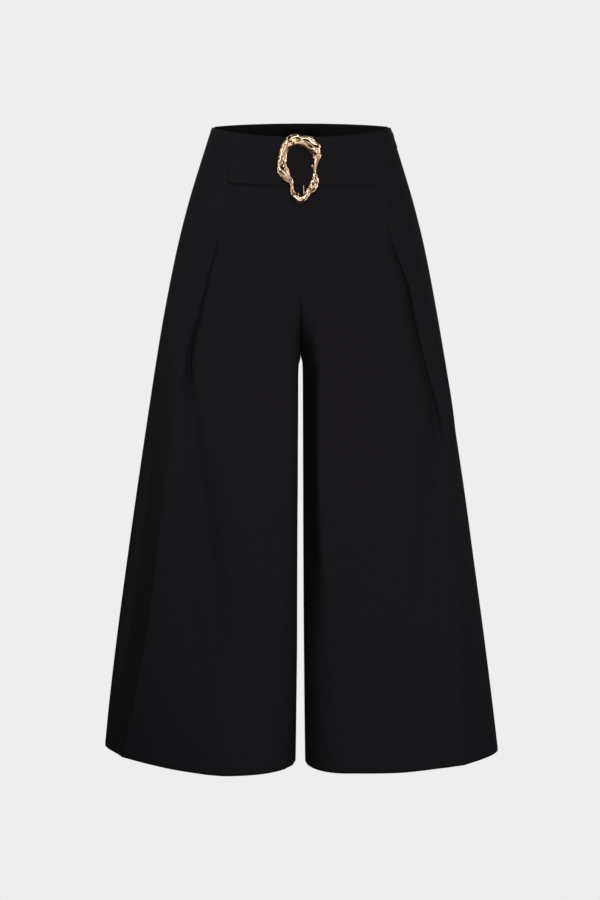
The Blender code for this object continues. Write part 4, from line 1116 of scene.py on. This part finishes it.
def zip_piece(tape, thread):
    """The closed zip inside the side seam: two woven tapes and the coil between them."""
    rows = [i for i, z in enumerate(ROWS) if ZIP_BOTTOM_Z + 1 <= z <= ZIP_TOP_Z - 1]
    outer, inner, spine = [], [], []
    for i in rows:
        sides = []
        for panel in ("front_right", "back_right"):
            _, grid, normal, _ = GRIDS[panel]
            row, n = grid[i, ::-1], -normal[i, ::-1]
            s = np.concatenate([[0], np.cumsum(np.linalg.norm(np.diff(row, axis=0), axis=1))])
            places = np.array([0.9, 2.0, 4.0, 6.5, 8.4])
            p = np.stack([np.interp(places, s, row[:, k]) for k in range(3)], 1)
            m = np.stack([np.interp(places, s, n[:, k]) for k in range(3)], 1)
            sides.append((p, m / np.linalg.norm(m, axis=1)[:, None]))
        p = np.concatenate([sides[0][0][::-1], sides[1][0]])
        m = np.concatenate([sides[0][1][::-1], sides[1][1]])
        outer.append(p + m * 0.45)
        inner.append(p + m * 0.95)
        mid = (p[4] + p[5]) / 2
        out = m[4] + m[5]
        spine.append(mid + out / np.linalg.norm(out) * 1.0)
    outer, inner, spine = np.array(outer), np.array(inner), np.array(spine)
    obj = shell("zip_tapes", outer, inner, tape, along_lengths(outer))
    # The coil: one rib for each tooth.
    s = np.concatenate([[0], np.cumsum(np.linalg.norm(np.diff(spine, axis=0), axis=1))])
    verts, faces, uv = [], [], []
    across = outer[:, 6] - outer[:, 3]
    across /= np.linalg.norm(across, axis=1)[:, None]
    deep = inner[:, 4] - outer[:, 4]
    deep /= np.linalg.norm(deep, axis=1)[:, None]
    pitch, n_side = 1.3, 10
    places = np.arange(2.0, s[-1] - 2.0, pitch)
    rings = []
    for c in places:
        for part, r in ((0.0, 0.72), (0.5, 1.0)):
            rings.append((c + part * pitch, r))
    for c, r in rings:
        p, a, d = (np.array([np.interp(c, s, q[:, k]) for k in range(3)]) for q in (spine, across, deep))
        for k in range(n_side):
            t = 2 * math.pi * k / n_side
            verts.append(p + a * math.cos(t) * 2.0 * r + d * math.sin(t) * 0.75 * r)
            uv.append((k, c))
    for m in range(len(rings) - 1):
        for k in range(n_side):
            n, b = (k + 1) % n_side, m * n_side
            faces.append([b + k, b + n, b + n_side + n, b + n_side + k])
    faces.append([k for k in range(n_side)][::-1])
    faces.append([(len(rings) - 1) * n_side + k for k in range(n_side)])
    coil = new_object("zip_coil", np.array(verts), faces, thread, np.array(uv))
    for piece, slot in ((obj, "zip_tape"), (coil, "zip_tape")):
        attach(piece, BODY_NAME)
    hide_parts("zip_tape")
    return obj, coil


# ---------------------------------------------------------------- materials


class Nodes:
    """Short calls for building a material's nodes."""

    def __init__(self, name):
        self.mat = bpy.data.materials.new(name)
        self.mat.use_nodes = True
        self.tree = self.mat.node_tree
        self.shader = self.tree.nodes["Principled BSDF"]

    def set(self, **values):
        for key, value in values.items():
            self.shader.inputs[key.replace("_", " ")].default_value = value

    def link(self, a, b):
        self.tree.links.new(a, b)

    def add(self, kind, inputs=(), **settings):
        node = self.tree.nodes.new(kind)
        for key, value in settings.items():
            setattr(node, key, value)
        for key, value in dict(inputs).items():
            if hasattr(value, "is_linked"):
                self.link(value, node.inputs[key])
            else:
                node.inputs[key].default_value = value
        return node

    def math(self, operation, *values):
        return self.add("ShaderNodeMath", dict(enumerate(values)), operation=operation).outputs[0]

    def mapped(self, source, scale):
        return self.add("ShaderNodeMapping", {"Vector": source, "Scale": scale}).outputs[0]

    def noise(self, source, scale, detail=2.0, rough=0.5):
        return self.add("ShaderNodeTexNoise", {"Vector": source, "Scale": scale, "Detail": detail, "Roughness": rough}).outputs["Fac"]

    def ramp(self, fac, stops, interpolation="LINEAR"):
        node = self.add("ShaderNodeValToRGB", {"Fac": fac})
        node.color_ramp.interpolation = interpolation
        while len(node.color_ramp.elements) < len(stops):
            node.color_ramp.elements.new(0.5)
        for element, (place, colour) in zip(node.color_ramp.elements, stops):
            element.position = place
            element.color = (*colour, 1.0) if len(colour) == 3 else colour
        return node.outputs["Color"]

    def mix(self, fac, a, b):
        node = self.add("ShaderNodeMix", data_type="RGBA")
        for key, value in (("Factor", fac), ("A", a), ("B", b)):
            socket = next(s for s in node.inputs if s.name == key and s.enabled)
            if hasattr(value, "is_linked"):
                self.link(value, socket)
            else:
                socket.default_value = (*value, 1.0) if isinstance(value, tuple) else value
        return next(s for s in node.outputs if s.enabled)

    def bump(self, height, strength, distance, normal=None):
        inputs = {"Height": height, "Strength": strength, "Distance": distance}
        if normal is not None:
            inputs["Normal"] = normal
        return self.add("ShaderNodeBump", inputs).outputs["Normal"]


def weave_heights(m, uv, warp_pitch, weft_pitch):
    """A plain weave's height from the cloth's own coordinates: yarns over and under in turn."""
    parts = m.add("ShaderNodeSeparateXYZ", {"Vector": uv}).outputs
    u = m.math("MULTIPLY", parts["X"], 100.0 * math.pi / warp_pitch)
    v = m.math("MULTIPLY", parts["Y"], 100.0 * math.pi / weft_pitch)
    su, cu = m.math("SINE", u), m.math("COSINE", u)
    sv, cv = m.math("SINE", v), m.math("COSINE", v)
    warp = m.math("MULTIPLY", m.math("ABSOLUTE", su), m.math("ADD", m.math("MULTIPLY", m.math("MULTIPLY", cu, cv), 0.5), 0.5))
    weft = m.math("MULTIPLY", m.math("ABSOLUTE", sv), m.math("SUBTRACT", 0.5, m.math("MULTIPLY", m.math("MULTIPLY", cu, cv), 0.5)))
    return m.math("MAXIMUM", warp, weft)


def suiting_material(name="suiting_looks", dark=1.0, bloom=0.03):
    """Near-black wool suiting: a fine plain weave with painted shade between its yarns, faint slubs, and a soft warm
    bloom at low angles. A dark below 1 gives a darker copy, used as painted shade.
    """
    m = Nodes(name)
    uv = m.add("ShaderNodeUVMap", uv_map="cloth").outputs[0]
    place = m.add("ShaderNodeTexCoord").outputs["Object"]
    weave = weave_heights(m, uv, 0.86, 0.94)
    slub = m.noise(m.mapped(uv, (70.0, 9.0, 1.0)), 1.0, 3.0, 0.6)
    cross = m.noise(m.mapped(uv, (8.0, 90.0, 1.0)), 1.0, 3.0, 0.6)
    cloud = m.noise(m.mapped(place, (5.0, 5.0, 2.6)), 1.0, 2.0, 0.5)
    base = m.mix(cloud, tuple(c * dark for c in (0.0470, 0.0400, 0.0486)), tuple(c * dark for c in (0.0440, 0.0405, 0.0500)))
    # Painted shade: the colour is darker where the weave is low, between the yarns.
    yarn_gap_shade = m.ramp(weave, [(0.0, (0.55, 0.55, 0.55)), (0.45, (1.0, 1.0, 1.0)), (1.0, (1.12, 1.12, 1.12))])
    fleck = m.ramp(m.math("MULTIPLY", m.math("ADD", slub, cross), 0.5), [(0.38, (0.86, 0.86, 0.86)), (0.62, (1.14, 1.14, 1.14))])
    shade = m.add("ShaderNodeMix", data_type="RGBA", blend_type="MULTIPLY")
    shade.inputs[0].default_value = 1.0
    m.link(yarn_gap_shade, shade.inputs[6])
    m.link(fleck, shade.inputs[7])
    colour = m.add("ShaderNodeMix", data_type="RGBA", blend_type="MULTIPLY")
    colour.inputs[0].default_value = 1.0
    m.link(base, colour.inputs[6])
    m.link(shade.outputs[2], colour.inputs[7])
    m.link(colour.outputs[2], m.shader.inputs["Base Color"])
    rough = m.math("ADD", m.math("MULTIPLY", slub, 0.12), 0.70)
    m.link(rough, m.shader.inputs["Roughness"])
    fine = m.bump(weave, 0.22, 0.00012)
    m.link(m.bump(m.math("ADD", slub, cross), 0.10, 0.0003, fine), m.shader.inputs["Normal"])
    m.set(Specular_IOR_Level=0.03 * dark, Sheen_Weight=bloom, Sheen_Roughness=0.45)
    m.shader.inputs["Sheen Tint"].default_value = (1.0, 0.92, 0.88, 1.0)
    return m.mat


def thread_material(name, colour):
    m = Nodes(name)
    place = m.add("ShaderNodeTexCoord").outputs["Object"]
    twist = m.noise(m.mapped(place, (2400.0, 2400.0, 2400.0)), 1.0, 1.0)
    low, high = tuple(c * 0.7 for c in colour), tuple(min(1.0, c * 1.3) for c in colour)
    m.link(m.mix(twist, low, high), m.shader.inputs["Base Color"])
    m.link(m.bump(twist, 0.3, 0.0001), m.shader.inputs["Normal"])
    m.set(Roughness=0.5, Specular_IOR_Level=0.3)
    return m.mat


def satin_material():
    """The label's woven satin: long floats across, black with a quiet lustre."""
    m = Nodes("label_satin_looks")
    uv = m.add("ShaderNodeUVMap", uv_map="cloth").outputs[0]
    floats = m.noise(m.mapped(uv, (26.0, 420.0, 1.0)), 1.0, 2.0, 0.6)
    warp = m.noise(m.mapped(uv, (300.0, 18.0, 1.0)), 1.0, 1.0)
    m.link(m.mix(floats, (0.010, 0.010, 0.013), (0.022, 0.022, 0.026)), m.shader.inputs["Base Color"])
    m.link(m.math("ADD", m.math("MULTIPLY", warp, 0.2), 0.42), m.shader.inputs["Roughness"])
    m.link(m.bump(floats, 0.35, 0.0001), m.shader.inputs["Normal"])
    m.set(Specular_IOR_Level=0.05, Sheen_Weight=0.02, Sheen_Roughness=0.3)
    return m.mat


def gold_material():
    """Polished pale gold: bright on the rubbed ridges, a little browner in the hollows."""
    m = Nodes("pale_gold_looks")
    place = m.add("ShaderNodeTexCoord").outputs["Object"]
    blot = m.noise(place, 160.0, 3.0, 0.55)
    fine = m.noise(place, 900.0, 2.0, 0.6)
    m.link(m.mix(blot, (0.48, 0.32, 0.20), (0.64, 0.46, 0.32)), m.shader.inputs["Base Color"])
    m.link(m.math("ADD", m.math("MULTIPLY", fine, 0.06), 0.06), m.shader.inputs["Roughness"])
    m.link(m.bump(m.math("ADD", blot, m.math("MULTIPLY", fine, 0.2)), 0.08, 0.0004), m.shader.inputs["Normal"])
    m.set(Metallic=1.0)
    return m.mat


def tape_material():
    """The zip's woven tape: fine ribs along it, with painted shade in the low places between them."""
    m = Nodes("zip_tape_looks")
    uv = m.add("ShaderNodeUVMap", uv_map="cloth").outputs[0]
    parts = m.add("ShaderNodeSeparateXYZ", {"Vector": uv}).outputs
    ribs = m.math("ABSOLUTE", m.math("SINE", m.math("MULTIPLY", parts["X"], 100.0 * math.pi / 0.8)))
    picks = m.math("ABSOLUTE", m.math("SINE", m.math("MULTIPLY", parts["Y"], 100.0 * math.pi / 0.5)))
    height = m.math("ADD", ribs, m.math("MULTIPLY", picks, 0.4))
    # Painted shade: the colour is darker where the ribs are low.
    m.link(m.ramp(height, [(0.0, (0.006, 0.006, 0.007)), (0.9, (0.014, 0.014, 0.016))]), m.shader.inputs["Base Color"])
    m.link(m.bump(height, 0.4, 0.00015), m.shader.inputs["Normal"])
    m.set(Roughness=0.75, Specular_IOR_Level=0.3)
    return m.mat


def enamel_material():
    """Black enamel on the slider and its tab: slight orange peel, worn a little in scattered patches."""
    m = Nodes("black_enamel_looks")
    place = m.add("ShaderNodeTexCoord").outputs["Object"]
    peel = m.noise(place, 1500.0, 2.0)
    wear = m.noise(place, 420.0, 3.0, 0.65)
    m.link(m.ramp(wear, [(0.5, (0.012, 0.012, 0.013)), (0.78, (0.035, 0.034, 0.034))]), m.shader.inputs["Base Color"])
    m.link(m.math("ADD", m.math("MULTIPLY", wear, 0.25), 0.16), m.shader.inputs["Roughness"])
    m.link(m.bump(peel, 0.08, 0.0002), m.shader.inputs["Normal"])
    m.set(Specular_IOR_Level=0.5, Coat_Weight=0.4, Coat_Roughness=0.1)
    return m.mat


# ---------------------------------------------------------------- putting it together

suiting = suiting_material()
# A darker copy of the suiting for the visible inside of the waist: painted shade.
inside = suiting_material("suiting_painted_shade_inside_looks", 0.84, 0.02)
thread = thread_material("black_thread_looks", (0.045, 0.040, 0.048))
satin = satin_material()
gold = gold_material()
tape = tape_material()
enamel = enamel_material()

panels = {name: cloth_panel(name, suiting) for name in ("front_left", "front_right", "back_left", "back_right")}
belt, belt_outer = belt_panel(suiting)
label, label_stitches = label_piece(satin, thread)
pleat_stitches(thread)
buckle_piece(gold)
tapes, coil = zip_piece(tape, thread)

for name in ("zip_slider", "zip_pull"):
    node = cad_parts[name]
    if node.data.materials:
        for k in range(len(node.data.materials)):
            node.data.materials[k] = enamel
    else:
        node.data.materials.append(enamel)
    edge = node.modifiers.new("worn_edges", "BEVEL")
    edge.width = 0.00014
    edge.segments = 2
    edge.limit_method = "ANGLE"
    edge.harden_normals = False

# ---------------------------------------------------------------- stage, light and camera

SHEET_WHITE = 0.855


def seen_only(name, mesh):
    """Part of the plain pale surround: it shows to the camera and lights nothing."""
    mat = bpy.data.materials.new(name)
    mat.use_nodes = True
    tree = mat.node_tree
    tree.nodes.clear()
    glow = tree.nodes.new("ShaderNodeEmission")
    glow.inputs["Color"].default_value = (SHEET_WHITE, SHEET_WHITE, SHEET_WHITE, 1.0)
    out = tree.nodes.new("ShaderNodeOutputMaterial")
    tree.links.new(glow.outputs[0], out.inputs["Surface"])
    mesh.materials.append(mat)
    obj = bpy.data.objects.new(name, mesh)
    bpy.context.scene.collection.objects.link(obj)
    obj.visible_diffuse = False
    obj.visible_glossy = False
    obj.visible_transmission = False
    obj.visible_shadow = False
    obj.visible_volume_scatter = False
    return obj


def surround():
    bm = bmesh.new()
    bmesh.ops.create_uvsphere(bm, u_segments=64, v_segments=32, radius=12.0)
    bmesh.ops.reverse_faces(bm, faces=bm.faces)
    dome = bpy.data.meshes.new("studio_dome")
    bm.to_mesh(dome)
    bm.free()
    seen_only("studio_dome", dome)
    bm = bmesh.new()
    bmesh.ops.create_circle(bm, cap_ends=True, segments=96, radius=11.5)
    bmesh.ops.translate(bm, verts=bm.verts, vec=(0.0, 0.0, -1.25))
    floor = bpy.data.meshes.new("studio_floor")
    bm.to_mesh(floor)
    bm.free()
    seen_only("studio_floor", floor)


def softbox(name, azimuth, elevation, distance, size, power, colour=(1.0, 1.0, 1.0), aim=(0.0, 0.0, -0.43)):
    """A soft light. Azimuth 0 is in front, and turns towards +X."""
    data = bpy.data.lights.new(name, "AREA")
    data.shape = "RECTANGLE"
    data.size, data.size_y = size
    data.energy = power
    data.color = colour
    obj = bpy.data.objects.new(name, data)
    a, e = math.radians(azimuth), math.radians(elevation)
    target = Vector(aim)
    obj.location = target + Vector((math.sin(a) * math.cos(e), -math.cos(a) * math.cos(e), math.sin(e))) * distance
    obj.rotation_euler = (target - obj.location).to_track_quat("-Z", "Y").to_euler()
    obj.visible_camera = False
    bpy.context.scene.collection.objects.link(obj)
    return obj


surround()
world = bpy.data.worlds.new("studio_air")
world.use_nodes = True
world.node_tree.nodes["Background"].inputs["Color"].default_value = (0.94, 0.97, 1.0, 1.0)
world.node_tree.nodes["Background"].inputs["Strength"].default_value = 0.022
bpy.context.scene.world = world
softbox("key", 8, 9, 2.6, (1.5, 1.3), 10.6, (1.0, 0.985, 0.975), (0.0, 0.0, -0.38))
hips = softbox("left_hips", -74, 40, 1.1, (0.3, 0.4), 0.19, (1.0, 0.98, 0.98), (-0.15, 0.0, -0.15))
hips.data.spread = math.radians(56)
softbox("right_cool", 58, 4, 3.2, (0.8, 1.8), 4.0, (0.93, 0.96, 1.0))
softbox("back_soft", 184, 26, 3.2, (1.8, 1.8), 36)
softbox("back_right", 138, 14, 3.4, (1.4, 2.0), 6.0, (0.96, 0.98, 1.0))
# Cards and strips that only polished metal picks up.
warm = (1.0, 0.97, 0.93)
belt_aim = (0.0, 0.0, -0.06)
cards = [
    softbox("card_middle", -12, 2, 2.7, (0.7, 2.2), 4.0, warm, belt_aim),
    softbox("card_left", -46, 4, 2.7, (0.8, 2.2), 4.2, warm, belt_aim),
    softbox("card_right", 36, 4, 2.7, (0.7, 2.2), 3.9, warm, belt_aim),
    softbox("card_low", 0, -34, 2.7, (2.6, 0.6), 2.6, warm, belt_aim),
    softbox("strip_top", 6, 52, 2.6, (2.2, 0.30), 42.0, warm, belt_aim),
    softbox("strip_left", -70, 8, 2.6, (0.26, 1.8), 30.0, warm, belt_aim),
    softbox("strip_right", 68, 10, 2.6, (0.26, 1.8), 28.0, warm, belt_aim),
]
for card in cards:
    card.visible_diffuse = False

lens = bpy.data.cameras.new("photo_view")
lens.lens = 101.16
lens.sensor_width = 36.0
lens.sensor_fit = "AUTO"
lens.clip_end = 100.0
camera = bpy.data.objects.new("photo_view", lens)
camera.location = (-0.0006, -3.4, 0.10)
camera.rotation_euler = (math.radians(90.0 - 9.0), 0.0, 0.0)
bpy.context.scene.collection.objects.link(camera)
bpy.context.scene.camera = camera
bpy.context.scene.view_settings.view_transform = "Standard"

bpy.context.view_layer.update()
